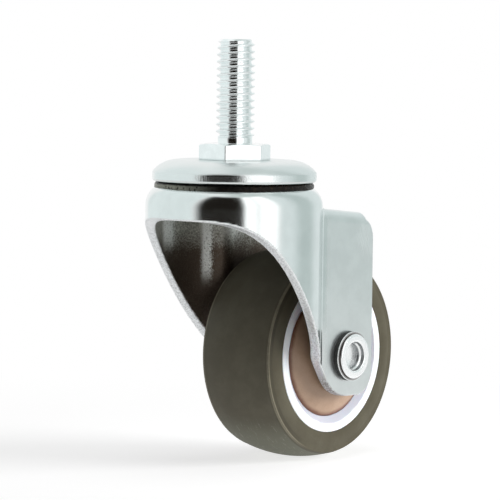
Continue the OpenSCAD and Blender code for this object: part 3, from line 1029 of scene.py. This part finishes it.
class GreaseBead:
    """The ragged ring of old grease that was pressed out of the upper race."""

    COLUMNS = 720
    ROWS = 28

    def __init__(self, sizes: BeadSizes) -> None:
        self.sizes = sizes
        self.top = node_span("race_grease", 2)[1]
        self.r = node_span("race_grease", 0)[1]

    def build(self, material: Material) -> Piece:
        """Makes the bead as a closed section that varies round the ring.

        The section's parameter t goes once round: r = mid + half c and z = mid + half h, where c
        and h are cos t and sin t raised to a power below 1 with their signs kept. Waves of the
        angle vary its reach, and its underside is lifted to the round edge of the crown.
        """
        s = self.sizes
        angle = even_turn(self.COLUMNS)
        t = np.linspace(0, math.tau, self.ROWS, endpoint=False)[:, None]
        c, h = (np.sign(v) * np.abs(v) ** s.square for v in (np.cos(t), np.sin(t)))
        rough = waves(angle + s.lean * np.sin(2 * t), s.counts, s.seed)
        reach = self.r + s.ragged * rough - s.reach
        middle, half = (s.inner_r + reach) / 2, (reach - s.inner_r) / 2
        r = middle + half * c
        z = self.top - s.half_h + s.half_h * h
        over = (r - (s.crown_r - s.crown_edge)).clip(0)
        floor = s.crown_z - s.crown_edge + np.sqrt((s.crown_edge**2 - over**2).clip(0)) + s.lift
        z = np.minimum(np.maximum(z, floor), self.top)
        piece = Piece("grease_bead", rings(r, angle, z, closed=True), sharp=70.0)
        return piece.placed(Body.FORK, "grease", material, "race_grease")


@dataclass(frozen=True)
class ForkSizes:
    """Sizes of the one-piece pressed fork."""

    sheet: float = 2.2
    crown_r: float = 18.1
    crown_z: float = -8.2
    crown_edge: float = 4.4
    hole_r: float = 5.5
    roof_drop: float = 3.6
    roof_fall: float = 5.5
    roof_bend: float = 2.6
    valley: float = 1.7
    leg_out: float = 13.35
    mouth_drop: float = 6.9
    roof_rear: float = 5.8
    leg_rear: float = 7.9
    leg_low: float = 8.4
    leg_corner: float = 4.7
    corner_sink: float = 0.9
    lip_inset: float = 0.4
    lip_level: float = 11.0
    waist_x: float = 9.25
    waist_h: float = -1.55
    waist_slope: float = 50.5
    waist_pull_up: float = 18.8
    waist_pull_down: float = 3.5
    toe_x: float = -0.7
    toe_level: float = 7.0
    rivet_hole_r: float = 3.52
    beyond: float = 2.0
    cut_round: float = 0.28
    cut_fade: Pair = (-0.35, 0.0)
    within_fade: Pair = (1.4, 1.9)
    upper_track: Triple = (12.0, -6.65, 2.045)
    lower_track: Triple = (8.0, -11.36, 1.31)


def cubic(a: Array, b: Array, c: Array, d: Array, steps: int) -> Array:
    """Points of the cubic a (1-t)^3 + 3 b t (1-t)^2 + 3 c t^2 (1-t) + d t^3 for t from 0 to 1."""
    t = np.linspace(0, 1, steps + 1)[:, None]
    return a * (1 - t) ** 3 + 3 * b * t * (1 - t) ** 2 + 3 * c * t * t * (1 - t) + d * t**3


def arc_points(
        centre: Sequence[float], radius: float, first: float, last: float, steps: int) -> Array:
    """Points of a circle's arc between two angles in degrees."""
    angle = np.radians(np.linspace(first, last, steps + 1))
    return np.array(centre) + radius * np.stack([np.cos(angle), np.sin(angle)], 1)


def outline_distance(x: Array, z: Array, outline: Array) -> Array:
    """Signed distance to a closed outline, negative inside it.

    The distance to a side is that to its nearest point. A point is inside if a line from it
    crosses the outline an odd number of times.
    """
    best = np.full(np.broadcast(x, z).shape, np.inf)
    inside = np.zeros(best.shape, bool)
    for (ax, az), (bx, bz) in zip(outline, np.roll(outline, -1, axis=0)):
        ex, ez = bx - ax, bz - az
        wx, wz = x - ax, z - az
        t = np.clip((wx * ex + wz * ez) / (ex * ex + ez * ez), 0, 1)
        best = np.minimum(best, (wx - ex * t) ** 2 + (wz - ez * t) ** 2)
        crosses = ((az > z) != (bz > z)) & (wx < ex * wz / (ez if ez else 1e-12))
        inside ^= crosses
    return np.where(inside, -1.0, 1.0) * np.sqrt(best)


def box_distance(u: Array, v: Array, rounding: float) -> tuple[Array, Array]:
    """Distance to the quarter plane u < 0, v < 0 whose corner is rounded, and its slope along u."""
    u, v = u + rounding, v + rounding
    reach = np.hypot(u.clip(0), v.clip(0))
    slope = np.where((u > 0) & (v > 0), u / reach.clip(1e-9), u > v)
    return reach + np.minimum(np.maximum(u, v), 0) - rounding, slope


class Fork:
    """The pressed fork, found as the zero surface of a distance field.

    The sheet is bent in every direction at once and its edge is an S-shaped cut through all its
    forms, so it is no function of two parameters. It is described by its distance instead.
    """

    # Grid spacing of a quick and of a full run, free space round the form, and the step that the
    # slope is measured with, in millimetres.
    COARSE, FINE = 0.6, 0.34
    MARGIN = 1.0
    NUDGE = 0.01
    # Rounds of evening out the net, furthest pull onto the surface in each, and the largest
    # cosine between two slopes that a fillet is made for.
    ROUNDS = 4
    REACH = 0.5
    STEEPEST = 0.95

    def __init__(self, sizes: ForkSizes, step: float) -> None:
        """Keeps the sizes.

        Args:
            sizes: Sizes of the fork.
            step: Spacing of the grid that the surface is found on, in millimetres.
        """
        self.sizes = sizes
        self.step = step
        self.outline = self._outline()

    def _outline(self) -> Array:
        """Side view of the sheet's cut edge: the mouth's two cubics, the legs and the crown."""
        s = self.sizes
        ax, az = AXLE[0], AXLE[2]
        mouth_z, top = s.crown_z - s.mouth_drop, s.crown_z + s.beyond
        start = np.array([-s.crown_r + s.lip_inset, mouth_z])
        waist = np.array([ax - s.waist_x, az + s.waist_h])
        end = np.array([ax - s.toe_x, az - s.leg_low])
        slope = math.radians(s.waist_slope)
        way = np.array([math.cos(slope), -math.sin(slope)])
        level = np.array([1.0, 0.0])
        upper = cubic(start, start + s.lip_level * level, waist - s.waist_pull_up * way, waist, 34)
        lower = cubic(waist, waist + s.waist_pull_down * way, end - s.toe_level * level, end, 26)
        corner_x = ax + s.leg_rear - s.leg_corner
        roof_z = s.crown_z - s.roof_drop
        high = roof_z - math.tan(math.radians(s.roof_fall)) * corner_x - s.corner_sink - s.leg_corner
        low = az - s.leg_low + s.leg_corner
        rear = ax + s.roof_rear
        lift = math.degrees(math.acos((rear - corner_x) / s.leg_corner))
        low_corner = arc_points((corner_x, low), s.leg_corner, -90, 0, 14)
        high_corner = arc_points((corner_x, high), s.leg_corner, 0, lift, 9)
        ahead = -s.crown_r - s.beyond
        front = np.array([[ahead, mouth_z]])
        back = np.array([[rear, top], [ahead, top]])
        return np.concatenate([front, upper, lower[1:], low_corner, high_corner, back])

    def _form(self, x: Array, y: Array, z: Array) -> Array:
        """Distance to the solid that the sheet is wrapped round.

        A drum with a round top edge and a saddle whose roof falls to the rear. Where both are
        nearer than the fillet's radius R, with p = R - drum, q = R - saddle and c the cosine of
        the angle between their slopes, it is R - sqrt((p^2 + q^2 - 2 c p q) / (1 - c^2)) as long
        as p > c q and q > c p, and elsewhere the smaller of the two.
        """
        s = self.sizes
        out = np.hypot(x, y).clip(1e-6)
        drum, drum_out = box_distance(out - s.crown_r, z - s.crown_z, s.crown_edge)
        fall = math.radians(s.roof_fall)
        roof = z - s.crown_z + s.roof_drop
        along = x * math.cos(fall) - roof * math.sin(fall)
        above = x * math.sin(fall) + roof * math.cos(fall)
        saddle, saddle_out = box_distance(np.abs(y) - s.leg_out, above, s.roof_bend)
        saddle = np.maximum(saddle, -along)
        drum_up, saddle_up = np.sqrt(1 - drum_out**2), np.sqrt(1 - saddle_out**2)
        c = drum_out * saddle_out * np.abs(y) / out
        c = c + saddle_up * (drum_out * x / out * math.sin(fall) + drum_up * math.cos(fall))
        c = c.clip(0, self.STEEPEST)
        p, q = s.valley - drum, s.valley - saddle
        fillet = s.valley - np.sqrt((p * p + q * q - 2 * c * p * q) / (1 - c * c))
        return np.where((p > c * q) & (q > c * p), fillet, np.minimum(drum, saddle))

    def _parts(self, x: Array, y: Array, z: Array) -> tuple[Array, ...]:
        """Distances to the form, to the endless sheet and to the cuts through it."""
        s = self.sizes
        form, ring = self._form(x, y, z), np.hypot(x, y)
        sheet = np.maximum(form, -(form + s.sheet))
        for radius, height, ball in (s.upper_track, s.lower_track):
            sheet = np.maximum(sheet, ball - np.hypot(ring - radius, z - height))
        cuts = outline_distance(x, z, self.outline)
        cuts = np.maximum(cuts, s.rivet_hole_r - np.hypot(x - AXLE[0], z - AXLE[2]))
        return form, sheet, np.maximum(cuts, s.hole_r - ring)

    def distance(self, x: Array, y: Array, z: Array) -> Array:
        """Distance to the fork: the sheet and the cuts meet with a small rounding."""
        r = self.sizes.cut_round
        _, sheet, cuts = self._parts(x, y, z)
        corner = np.hypot((sheet + r).clip(0), (cuts + r).clip(0))
        return np.minimum(np.maximum(sheet, cuts), -r) + corner

    def _slope(self, p: Array) -> Array:
        """Unit gradient of the distance, from differences along the corners of a tetrahedron."""
        ways = np.array([[1, -1, -1], [-1, -1, 1], [-1, 1, -1], [1, 1, 1]], float)
        total = sum(way * self.distance(*(p + way * self.NUDGE).T)[:, None] for way in ways)
        return total / np.linalg.norm(total, axis=-1, keepdims=True).clip(1e-9)

    def _field(self) -> tuple[Array, Array]:
        """Distances on the grid, and the grid's lowest corner."""
        s = self.sizes
        low = np.array([-s.crown_r, -s.crown_r, AXLE[2] - s.leg_low]) - self.MARGIN
        high = np.array([AXLE[0] + s.leg_rear, s.crown_r, s.crown_z]) + self.MARGIN
        x, y, z = (np.arange(a, b, self.step) for a, b in zip(low, high))
        return self.distance(x[:, None, None], y[None, :, None], z[None, None, :]), low

    def shape(self) -> Shape:
        """The surface: a net of quads round the zero crossings, drawn onto the exact surface."""
        values, low = self._field()
        shape = surface_net(values)
        shape.points = low + shape.points * self.step
        neighbours = np.concatenate([shape.quads[:, [k, (k + 1) % 4]] for k in range(4)])
        count = len(shape.points)
        degree = np.bincount(neighbours.ravel(), minlength=count)[:, None]
        for _ in range(self.ROUNDS):
            normal = self._slope(shape.points)
            ends = shape.points[neighbours[:, ::-1].ravel()]
            mean = np.stack([np.bincount(neighbours.ravel(), ends[:, k], count) for k in range(3)], 1)
            shift = mean / degree - shape.points
            shift -= (shift * normal).sum(1, keepdims=True) * normal
            shape.points = shape.points + 0.5 * shift
            gap = self.distance(*shape.points.T).clip(-self.REACH, self.REACH)[:, None]
            shape.points = shape.points - gap * self._slope(shape.points)
        return shape

    def build(self, material: Material) -> Piece:
        """Makes the fork, with the cut edge and the inside stored for its material."""
        shape = self.shape()
        piece = Piece("fork_pressing", shape, weld=0)
        form, sheet, cuts = self._parts(*shape.points.T)
        piece.attribute("cut", smoothstep(cuts - sheet, *self.sizes.cut_fade))
        piece.attribute("within", smoothstep(-form, *self.sizes.within_fade))
        piece.shaded(self._slope(shape.points))
        return piece.placed(Body.FORK, "fork_zinc", material, "fork")


def surface_net(values: Array) -> Shape:
    """Net of quads round the zero surface of a grid of distances, in grid steps.

    Each cell that the surface passes through gets one point, the mean of where the surface
    crosses its edges. Each crossed edge gets the quad between its four cells.
    """
    cells = np.array(values.shape) - 1
    total, hits = np.zeros((*cells, 3)), np.zeros(cells)
    edges = []
    for axis in range(3):
        lower, upper = [slice(None)] * 3, [slice(None)] * 3
        lower[axis], upper[axis] = slice(0, -1), slice(1, None)
        a, b = values[tuple(lower)], values[tuple(upper)]
        at = np.argwhere((a < 0) != (b < 0))
        u, v = (axis + 1) % 3, (axis + 2) % 3
        here_a, here_b = a[tuple(at.T)], b[tuple(at.T)]
        point = at.astype(float)
        point[:, axis] += here_a / (here_a - here_b)
        around = []
        for du, dv in ((0, 0), (-1, 0), (-1, -1), (0, -1)):
            cell = at.copy()
            cell[:, u] += du
            cell[:, v] += dv
            np.add.at(total, tuple(cell.T), point)
            np.add.at(hits, tuple(cell.T), 1)
            around.append(np.ravel_multi_index(tuple(cell.T), tuple(cells)))
        quad = np.stack(around, 1)
        edges.append(np.where(here_a[:, None] < 0, quad, quad[:, ::-1]))
    used = hits > 0
    number = np.cumsum(used.ravel()) - 1
    points = total[used] / hits[used][:, None]
    return Shape(points, number[np.concatenate(edges)])


def on_axle(profile: Array, columns: int, closed: bool = True, side: Side = Side.NEAR) -> Shape:
    """A half section turned about the wheel's axis.

    A point (r, h) at angle t lies at x = x0 + r cos t, y = -h for the near side and h for the
    far side, and z = z0 + r sin t.

    Args:
        profile: The half section, one (r, h) a row; heights count towards the side.
        columns: How many columns go round.
        closed: Whether the last row of the profile joins the first.
        side: The side that heights count towards.

    Returns:
        The shape.
    """
    shape = revolved(profile, columns, closed)
    x, y, h = shape.points.T
    ax, ay, az = AXLE
    return Shape(np.stack([ax + x, ay - side.value * h, az + y], 1), shape.quads)


@dataclass(frozen=True)
class WheelSizes:
    """Sizes of the wheel."""

    tyre_half: float = 8.8
    shoulder: float = 1.1
    tread_r: float = 27.7
    ridge: float = 0.2
    ridge_turn: float = 58.0
    ridge_width: float = 9.0
    bulge: float = 0.18
    shoulder_turn: float = 15.0
    side_gaps: Pair = (0.4, 0.5)
    rim_gap: float = 0.03
    rim_r: float = 16.25
    rim_half: float = 9.05
    rim_flat: float = 1.85
    cover_r: float = 13.0
    cover_sink: float = 1.05
    dome_h: float = 2.4
    cover_t: float = 1.0
    cover_hole_r: float = 5.4
    cover_snap: float = 1.6
    snap_cut: float = 0.15
    lip_drops: Pair = (0.1, 0.25)
    grip_depth: float = 0.9
    grip_half: float = 7.3
    web_half: float = 2.0
    hub_r: float = 11.095
    hub_end: float = 7.53
    race_r: float = 9.595
    race_w: float = 4.4
    race_back: float = 0.8
    slip: float = 0.02


class Wheel:
    """The tyre, its moulded core and the two dust covers."""

    COLUMNS = 320

    def __init__(self, sizes: WheelSizes) -> None:
        self.sizes = sizes
        low, high = node_span("tyre", 0)
        self.r = (high - low) / 2

    def tyre(self, material: Material) -> Piece:
        """The tyre: crowned tread, round shoulders, and sides that lean out to the rim.

        A mould line runs along each shoulder: its radius at the angle t is
        shoulder + ridge exp(-((t - turn) / width)^2). Each side swells by 4 bulge t (1 - t).
        """
        s = self.sizes
        flat = s.tyre_half - s.shoulder
        y = np.linspace(-flat, flat, 45)
        centre = self.r - s.tread_r
        tread = np.stack([centre + np.sqrt(s.tread_r**2 - y**2), y], 1)
        shoulder_x = centre + math.sqrt(s.tread_r**2 - flat**2) - s.shoulder
        lean = 90 - math.degrees(math.atan2(s.rim_half - s.tyre_half, shoulder_x - s.rim_r))
        turn = np.linspace(s.shoulder_turn, lean, 28)
        radius = s.shoulder + s.ridge * np.exp(-(((turn - s.ridge_turn) / s.ridge_width) ** 2))
        around = np.stack([np.cos(np.radians(turn)), np.sin(np.radians(turn))], 1)
        upper = np.array([shoulder_x, flat]) + radius[:, None] * around
        t = np.linspace(0, 1, 15)
        top, foot = s.side_gaps
        out = shoulder_x - top + (s.rim_r + foot - shoulder_x + top) * t
        swollen = s.tyre_half + (s.rim_half - s.rim_gap - s.tyre_half) * t + s.bulge * 4 * t * (1 - t)
        side = np.stack([out, swollen], 1)
        seat = np.array([[s.rim_r + FLAT_GUARD, s.rim_half - 0.02], [s.rim_r, s.rim_half - FLAT_GUARD],
                         [s.rim_r, s.grip_half], [s.rim_r - s.grip_depth, s.grip_half]])
        half = np.concatenate([upper, side, seat])
        other = (half * [1, -1])[::-1]
        profile = np.concatenate([tread, half, other])
        piece = Piece("tyre_tread", on_axle(profile, self.COLUMNS), sharp=45.0)
        return piece.placed(Body.WHEEL, "tyre_rubber", material, "tyre")

    def core(self, material: Material) -> Piece:
        """The core: rim with two recesses, web, and a hub with a seat for each outer race."""
        s = self.sizes
        edge, flat = s.rim_half - s.cover_sink, s.rim_r - s.rim_flat
        stop = s.hub_end - s.race_w
        half = [Corner(s.rim_r - s.grip_depth, s.grip_half, 0.1), Corner(s.rim_r, s.grip_half, 0.1),
                Corner(s.rim_r, s.rim_half, 0.25), Corner(flat, s.rim_half, 0.3),
                Corner(s.cover_r, edge, 0.15), Corner(s.cover_r, s.web_half, 0.5),
                Corner(s.hub_r, s.web_half, 0.4), Corner(s.hub_r, s.hub_end, 0.15),
                Corner(s.race_r, s.hub_end, 0.1), Corner(s.race_r, stop, 0.05),
                Corner(s.race_r - s.race_back, stop, 0.05)]
        other = [Corner(c.r, -c.h, c.round) for c in reversed(half)]
        profile = filleted(half + other, closed=True)
        piece = Piece("core_moulding", on_axle(profile, self.COLUMNS), sharp=PROFILE_SHARP)
        return piece.placed(Body.WHEEL, "core_plastic", material, "wheel_core")

    def cover(self, side: Side, material: Material) -> Piece:
        """A dust cover: a shallow dome with a hole and a ring that snaps into the rim.

        The dome is part of the sphere through its edge and through the edge of its hole:
        centre h0 = (e^2 - o^2 + he^2 - ho^2) / (2 (he - ho)).
        """
        s = self.sizes
        outer = s.cover_r - s.slip
        edge = s.rim_half - s.cover_sink
        top = edge + s.dome_h
        centre = (outer**2 - s.cover_hole_r**2 + edge**2 - top**2) / (2 * (edge - top))
        ball = math.hypot(outer, edge - centre)
        r = np.linspace(outer - FLAT_GUARD, s.cover_hole_r + s.snap_cut, 26)
        dome = np.stack([r, centre + np.sqrt(ball**2 - r**2)], 1)
        inner = ball - s.cover_t
        r = np.linspace(s.cover_hole_r, outer - s.cover_t, 22)
        under = np.stack([r, centre + np.sqrt(inner**2 - r**2)], 1)
        lip_h = centre + math.sqrt(ball**2 - s.cover_hole_r**2)
        upper, lower = s.lip_drops
        lip = np.array([[s.cover_hole_r + s.rim_gap, lip_h - upper], [s.cover_hole_r, lip_h - lower]])
        foot = edge - s.cover_snap
        snap = np.array([[outer - s.cover_t, foot], [outer - s.snap_cut, foot],
                         [outer, foot + s.snap_cut], [outer, edge - FLAT_GUARD]])
        profile = np.concatenate([dome, lip, under, snap])
        name, node = f"{side.name.lower()}_cover", f"{side.name.lower()}_dust_cover"
        piece = Piece(name, on_axle(profile, self.COLUMNS, side=side), sharp=PROFILE_SHARP)
        return piece.placed(Body.WHEEL, "cover_plastic", material, node)


@dataclass(frozen=True)
class RivetSizes:
    """Sizes of the semi-tubular rivet."""

    body_r: float = 3.5
    head_r: float = 5.1
    head_h: float = 1.25
    leg_out: float = 13.35
    edge: float = 0.15
    roll_r: float = 4.65
    roll_h: float = 0.65
    roll_round: float = 0.5
    mouth_r: float = 2.9
    mouth_depth: float = 0.85
    hole_r: float = 2.6
    hole_depth: float = 1.8
    hole_point: float = 0.15
    hole_round: float = 0.12
    ledge_round: float = 0.06
    foot_round: float = 0.08
    seam: float = 0.05
    dome: float = 0.25
    dome_edge: float = 0.5


class Rivet:
    """The rivet that is the wheel's axle: rolled over at the near end, domed at the far end."""

    COLUMNS = 160
    TURN = 8.0

    def __init__(self, sizes: RivetSizes) -> None:
        self.sizes = sizes

    def build(self, material: Material) -> Piece:
        """Makes the rivet.

        The near end is a flange with the rolled ring on it, whose hole narrows by a step and
        ends in a flat cone. The plain head's dome has the height h = dome (1 - (r / run)^2).
        """
        s = self.sizes
        flange = s.leg_out + s.head_h
        face = flange + s.roll_h
        narrow = s.mouth_depth + s.mouth_r - s.hole_r
        near = filleted([
            Corner(0.0, face - s.hole_depth - s.hole_point),
            Corner(s.hole_r, face - s.hole_depth, s.hole_round),
            Corner(s.hole_r, face - narrow, s.ledge_round),
            Corner(s.mouth_r, face - s.mouth_depth, s.ledge_round),
            Corner(s.mouth_r, face, s.roll_round), Corner(s.roll_r, face, s.roll_round),
            Corner(s.roll_r, flange, s.seam), Corner(s.head_r, flange, s.edge),
            Corner(s.head_r, s.leg_out, s.foot_round), Corner(s.body_r, s.leg_out, s.seam),
            Corner(s.body_r, 0.0)], closed=False, step=self.TURN)
        run = s.head_r - s.dome_edge
        r = np.linspace(run, 0.0, 16)
        dome = np.column_stack([r, -flange - s.dome * (1 - (r / run) ** 2)])
        far = filleted([
            Corner(s.body_r, 0.0), Corner(s.body_r, -s.leg_out, s.seam),
            Corner(s.head_r, -s.leg_out, s.foot_round),
            Corner(s.head_r, -flange, s.dome_edge - s.seam),
            Corner(run - s.seam, -flange)], closed=False, step=self.TURN)
        profile = np.concatenate([near, far[1:-1], dome])
        piece = Piece("rivet_and_heads", on_axle(profile, self.COLUMNS, False), sharp=PROFILE_SHARP)
        return piece.placed(Body.FORK, "rivet_zinc", material, "axle_rivet")


@dataclass(frozen=True)
class HiddenFinish:
    """The CAD nodes that keep their shape, with the finish that each gets."""

    finish: Steel
    slot: str
    nodes: tuple[str, ...]


HIDDEN = (
    HiddenFinish(Steel("ball_steel", (0.70, 0.71, 0.72), 0.1), "ball_steel",
                 ("upper_balls", "lower_balls", "near_wheel_balls", "far_wheel_balls")),
    HiddenFinish(Steel("race_zinc", (0.66, 0.69, 0.70), 0.28), "race_zinc",
                 ("lower_race", "retaining_washer")),
    HiddenFinish(Steel("sleeve_steel", (0.55, 0.56, 0.57), 0.3), "sleeve_steel", ("axle_sleeve",)),
    HiddenFinish(Steel("bearing_steel", (0.56, 0.57, 0.58), 0.2), "bearing_steel",
                 ("near_inner_race", "far_inner_race", "near_outer_race", "far_outer_race")),
)


def dress_hidden() -> None:
    """Gives the CAD nodes that stay in the scene their finish."""
    for group in HIDDEN:
        material = group.finish.material()
        for node in group.nodes:
            obj = frame["nodes"][node]
            obj.data.materials.clear()
            obj.data.materials.append(material)
            LOG.info("%s: dressed", node)


@dataclass(frozen=True)
class Card:
    """A soft patch of the dome, with its directions in degrees.

    Attributes:
        middle: Its middle, to the right of the camera as seen from the castor.
        half: Half its width.
        soft: How far its upright edges fade.
        tone: Linear colour.
        top: Elevation of its upper edge.
        top_soft: How far its upper edge fades.
    """

    middle: float
    half: float
    soft: float
    tone: Colour
    top: float = 66.0
    top_soft: float = 12.0


@dataclass(frozen=True)
class LampSizes:
    """An area light aimed at the castor: where it is, its size and its power."""

    name: str
    place: Triple
    size: float
    power: float


@dataclass(frozen=True)
class StudioSizes:
    """The camera, the floor, the lights and the cards round the castor."""

    camera: Triple = (-466.26, -393.65, 20.56)
    right: Triple = (0.6415, -0.7670, 0.0124)
    up: Triple = (0.0450, 0.0538, 0.9975)
    lens: float = 216.0
    sensor: float = 36.0
    clip_end: float = 50.0
    target: Triple = (5.0, 0.0, -30.0)
    floor: float = 6000.0
    floor_tone: float = 0.5
    floor_glow: float = 0.7
    fade: Pair = (40.0, 170.0)
    sky_diffuse: float = 0.06
    floor_diffuse: float = 1.15
    floor_far_diffuse: float = 0.08
    floor_glossy: float = 0.8
    dome_r: float = 300.0
    dome_skirt: float = 1.0
    eye_drop: float = 15.0
    ceiling_left: Colour = (0.95, 0.98, 0.98)
    ceiling_right: Colour = (0.62, 0.68, 0.67)
    ceiling_x: Pair = (-0.25, 0.1)
    ceiling_low: Pair = (60.0, 72.0)
    cards: tuple[Card, ...] = (
        Card(-100.0, 46.0, 10.0, (0.86, 0.92, 0.92)),
        Card(110.0, 50.0, 12.0, (0.80, 0.86, 0.86)),
        Card(-15.0, 33.0, 16.0, (0.010, 0.008, 0.006)),
        Card(21.0, 8.0, 8.0, (1.4, 1.4, 1.4)),
        Card(45.0, 12.0, 10.0, (1.4, 1.4, 1.4)),
        Card(104.0, 17.0, 24.0, (0.56, 0.63, 0.62)),
    )
    lamps: tuple[LampSizes, ...] = (
        LampSizes("key", (370.0, -460.0, 120.0), 380.0, 4.6),
        LampSizes("fill", (-560.0, 180.0, 160.0), 420.0, 0.3),
        LampSizes("top", (60.0, -60.0, 650.0), 500.0, 1.2),
    )


def linked(name: str, data: bpy.types.ID) -> bpy.types.Object:
    """A new object of the scene with that data."""
    obj = bpy.data.objects.new(name, data)
    bpy.context.scene.collection.objects.link(obj)
    return obj


class Studio:
    """Camera, plain floor, soft lights, and the cards that the plating mirrors."""

    def __init__(self, sizes: StudioSizes) -> None:
        self.sizes = sizes
        self.floor_z = node_span("tyre", 2)[0]

    def camera(self) -> None:
        """The camera as it stood for the photograph."""
        s = self.sizes
        data = bpy.data.cameras.new("camera")
        data.lens, data.sensor_width, data.clip_end = s.lens, s.sensor, s.clip_end
        obj = linked("camera", data)
        right = Vector(s.right).normalized()
        back = right.cross(Vector(s.up)).normalized()
        turn = Matrix((right, back.cross(right), back)).transposed().to_4x4()
        obj.matrix_world = Matrix.Translation(Vector(s.camera) * MM) @ turn
        bpy.context.scene.camera = obj

    def _staged(self, piece: Piece, name: str) -> Tree:
        """Gives a piece of the stage a material of that name, whose tree it returns."""
        made = bpy.data.materials.new(name)
        piece.obj.data.materials.append(made)
        return Tree(made)

    def floor(self) -> None:
        """A large pale floor that keeps a soft shadow.

        The further from the castor, the more it glows and the less it lights the castor, so that
        it ends in plain white.
        """
        s = self.sizes
        half = s.floor / 2
        points = np.array([[-half, -half], [half, -half], [half, half], [-half, half]])
        shape = Shape(np.column_stack([points, np.full(4, self.floor_z)]), np.array([[0, 1, 2, 3]]))
        tree = self._staged(Piece("floor", shape, weld=0), "floor_paper")
        x, y, _ = tree.place
        rays = tree.node("ShaderNodeLightPath")
        away = tree.far(x, y).step(*s.fade)
        paper = tree.mixed(tree.noise(1.5, 2.0), (s.floor_tone,) * 3, dimmed((s.floor_tone,) * 3, 0.99))
        glow = s.floor_glow + away * (1.0 - s.floor_glow)
        share = s.floor_diffuse + away * (s.floor_far_diffuse - s.floor_diffuse)
        glow = glow * (1.0 - rays["Is Diffuse Ray"] * (1.0 - share))
        glow = glow * (1.0 - rays["Is Glossy Ray"] * (1.0 - s.floor_glossy))
        tree.surface(
            Base_Color=tree.mixed(away, paper, BLACK), Roughness=1.0, Specular_IOR_Level=0.0,
            Emission_Color=tree.vector(glow, glow, glow), Emission_Strength=1.0)

    def dome(self) -> None:
        """A dome that only mirrored rays see: cards, and a ceiling that darkens to the right."""
        s = self.sizes
        turn = np.radians(np.linspace(0, 90, 24))
        profile = np.column_stack([s.dome_r * np.cos(turn), s.dome_r * np.sin(turn)])
        profile = np.concatenate([[[s.dome_r, self.floor_z + s.dome_skirt]], profile])
        piece = Piece("dome", revolved(profile, 180, False))
        for rays in ("camera", "diffuse", "shadow", "transmission", "volume_scatter"):
            setattr(piece.obj, f"visible_{rays}", False)
        tree = self._staged(piece, "dome_cards")
        x, y, z = tree.place
        behind = math.degrees(math.atan2(s.camera[1], s.camera[0]))
        around = tree.maths("WRAP", tree.turn(x, y) - behind, 180.0, -180.0)
        height = tree.turn(tree.far(x, y), z + s.eye_drop)
        colour = WHITE
        for card in s.cards:
            side, top = card.soft / 2, card.top_soft / 2
            share = (around - card.middle).magnitude().step(card.half + side, card.half - side)
            colour = tree.mixed(share * height.step(card.top + top, card.top - top), colour, card.tone)
        low, high = (share * s.dome_r for share in s.ceiling_x)
        right = (x * s.right[0] + y * s.right[1]).step(low, high)
        ceiling = tree.mixed(right, s.ceiling_left, s.ceiling_right)
        tree.surface(
            Base_Color=BLACK, Roughness=1.0, Specular_IOR_Level=0.0,
            Emission_Color=tree.mixed(height.step(*s.ceiling_low), colour, ceiling),
            Emission_Strength=1.0)

    def world(self) -> None:
        """White behind the castor and in mirrored rays, dimmer as a light source."""
        world = bpy.data.worlds.new("studio")
        bpy.context.scene.world = world
        tree = Tree(world)
        rays = tree.node("ShaderNodeLightPath")
        seen = (rays["Is Camera Ray"] + rays["Is Glossy Ray"] + rays["Is Transmission Ray"]).least(1.0)
        dim, full = (
            tree.node("ShaderNodeBackground", None, {"Color": WHITE, "Strength": strength})["Background"]
            for strength in (self.sizes.sky_diffuse, 1.0))
        both = tree.node("ShaderNodeMixShader", None, {"Fac": seen, 1: dim, 2: full})["Shader"]
        tree.node("ShaderNodeOutputWorld", None, {"Surface": both})

    def lamps(self) -> None:
        """Large soft area lights that aim at the castor."""
        target = Vector(self.sizes.target) * MM
        for lamp in self.sizes.lamps:
            data = bpy.data.lights.new(lamp.name, "AREA")
            data.shape, data.size, data.energy = "DISK", lamp.size * MM, lamp.power
            obj = linked(lamp.name, data)
            obj.location = Vector(lamp.place) * MM
            obj.rotation_euler = (obj.location - target).to_track_quat("Z", "Y").to_euler()
            obj.visible_glossy = obj.visible_camera = False

    def build(self) -> None:
        """Makes everything round the castor."""
        for step in (self.camera, self.floor, self.dome, self.world, self.lamps):
            step()


def corners(bounds: tuple[Vector, Vector]) -> list[list[float]]:
    """Two corners as plain lists."""
    return [[float(v) for v in corner] for corner in bounds]


def main() -> None:
    """Builds the castor's visual model and the studio."""
    logging.basicConfig(level=logging.INFO, format="%(message)s")
    bpy.context.scene.view_settings.view_transform = "Standard"
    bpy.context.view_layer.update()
    Stem(StemSizes()).build(Zinc("stem_zinc", (0.95, 0.98, 0.98), 0.14, 4.0, 0.003).material())
    TopCap(CapSizes()).build(BandZinc("cap_zinc", rough=0.16).material())
    GreaseBead(BeadSizes()).build(Grease().material())
    fork = Fork(ForkSizes(), Fork.FINE)
    fork.build(ForkZinc("fork_zinc", rough=0.13).material())
    wheel = Wheel(WheelSizes())
    wheel.tyre(Rubber().material())
    # The core turns lavender grey inside radius 14.55, on the rim's bevel: painted shade.
    wheel.core(Plastic("core_plastic", srgb(242, 245, 248), srgb(236, 240, 245), scatter=0.1,
                       edge=srgb(205, 208, 220), edge_r=(14.55, 14.2)).material())
    brown = Plastic("cover_plastic", srgb(184, 156, 133), srgb(152, 123, 100), 0.34, 0.02).material()
    for side in Side:
        wheel.cover(side, brown)
    bright = RivetZinc("rivet_zinc", (0.97, 0.99, 0.99), 0.16, depth=0.003)
    Rivet(RivetSizes()).build(bright.material())
    dress_hidden()
    Studio(StudioSizes()).build()


if __name__ == "__main__":
    main()
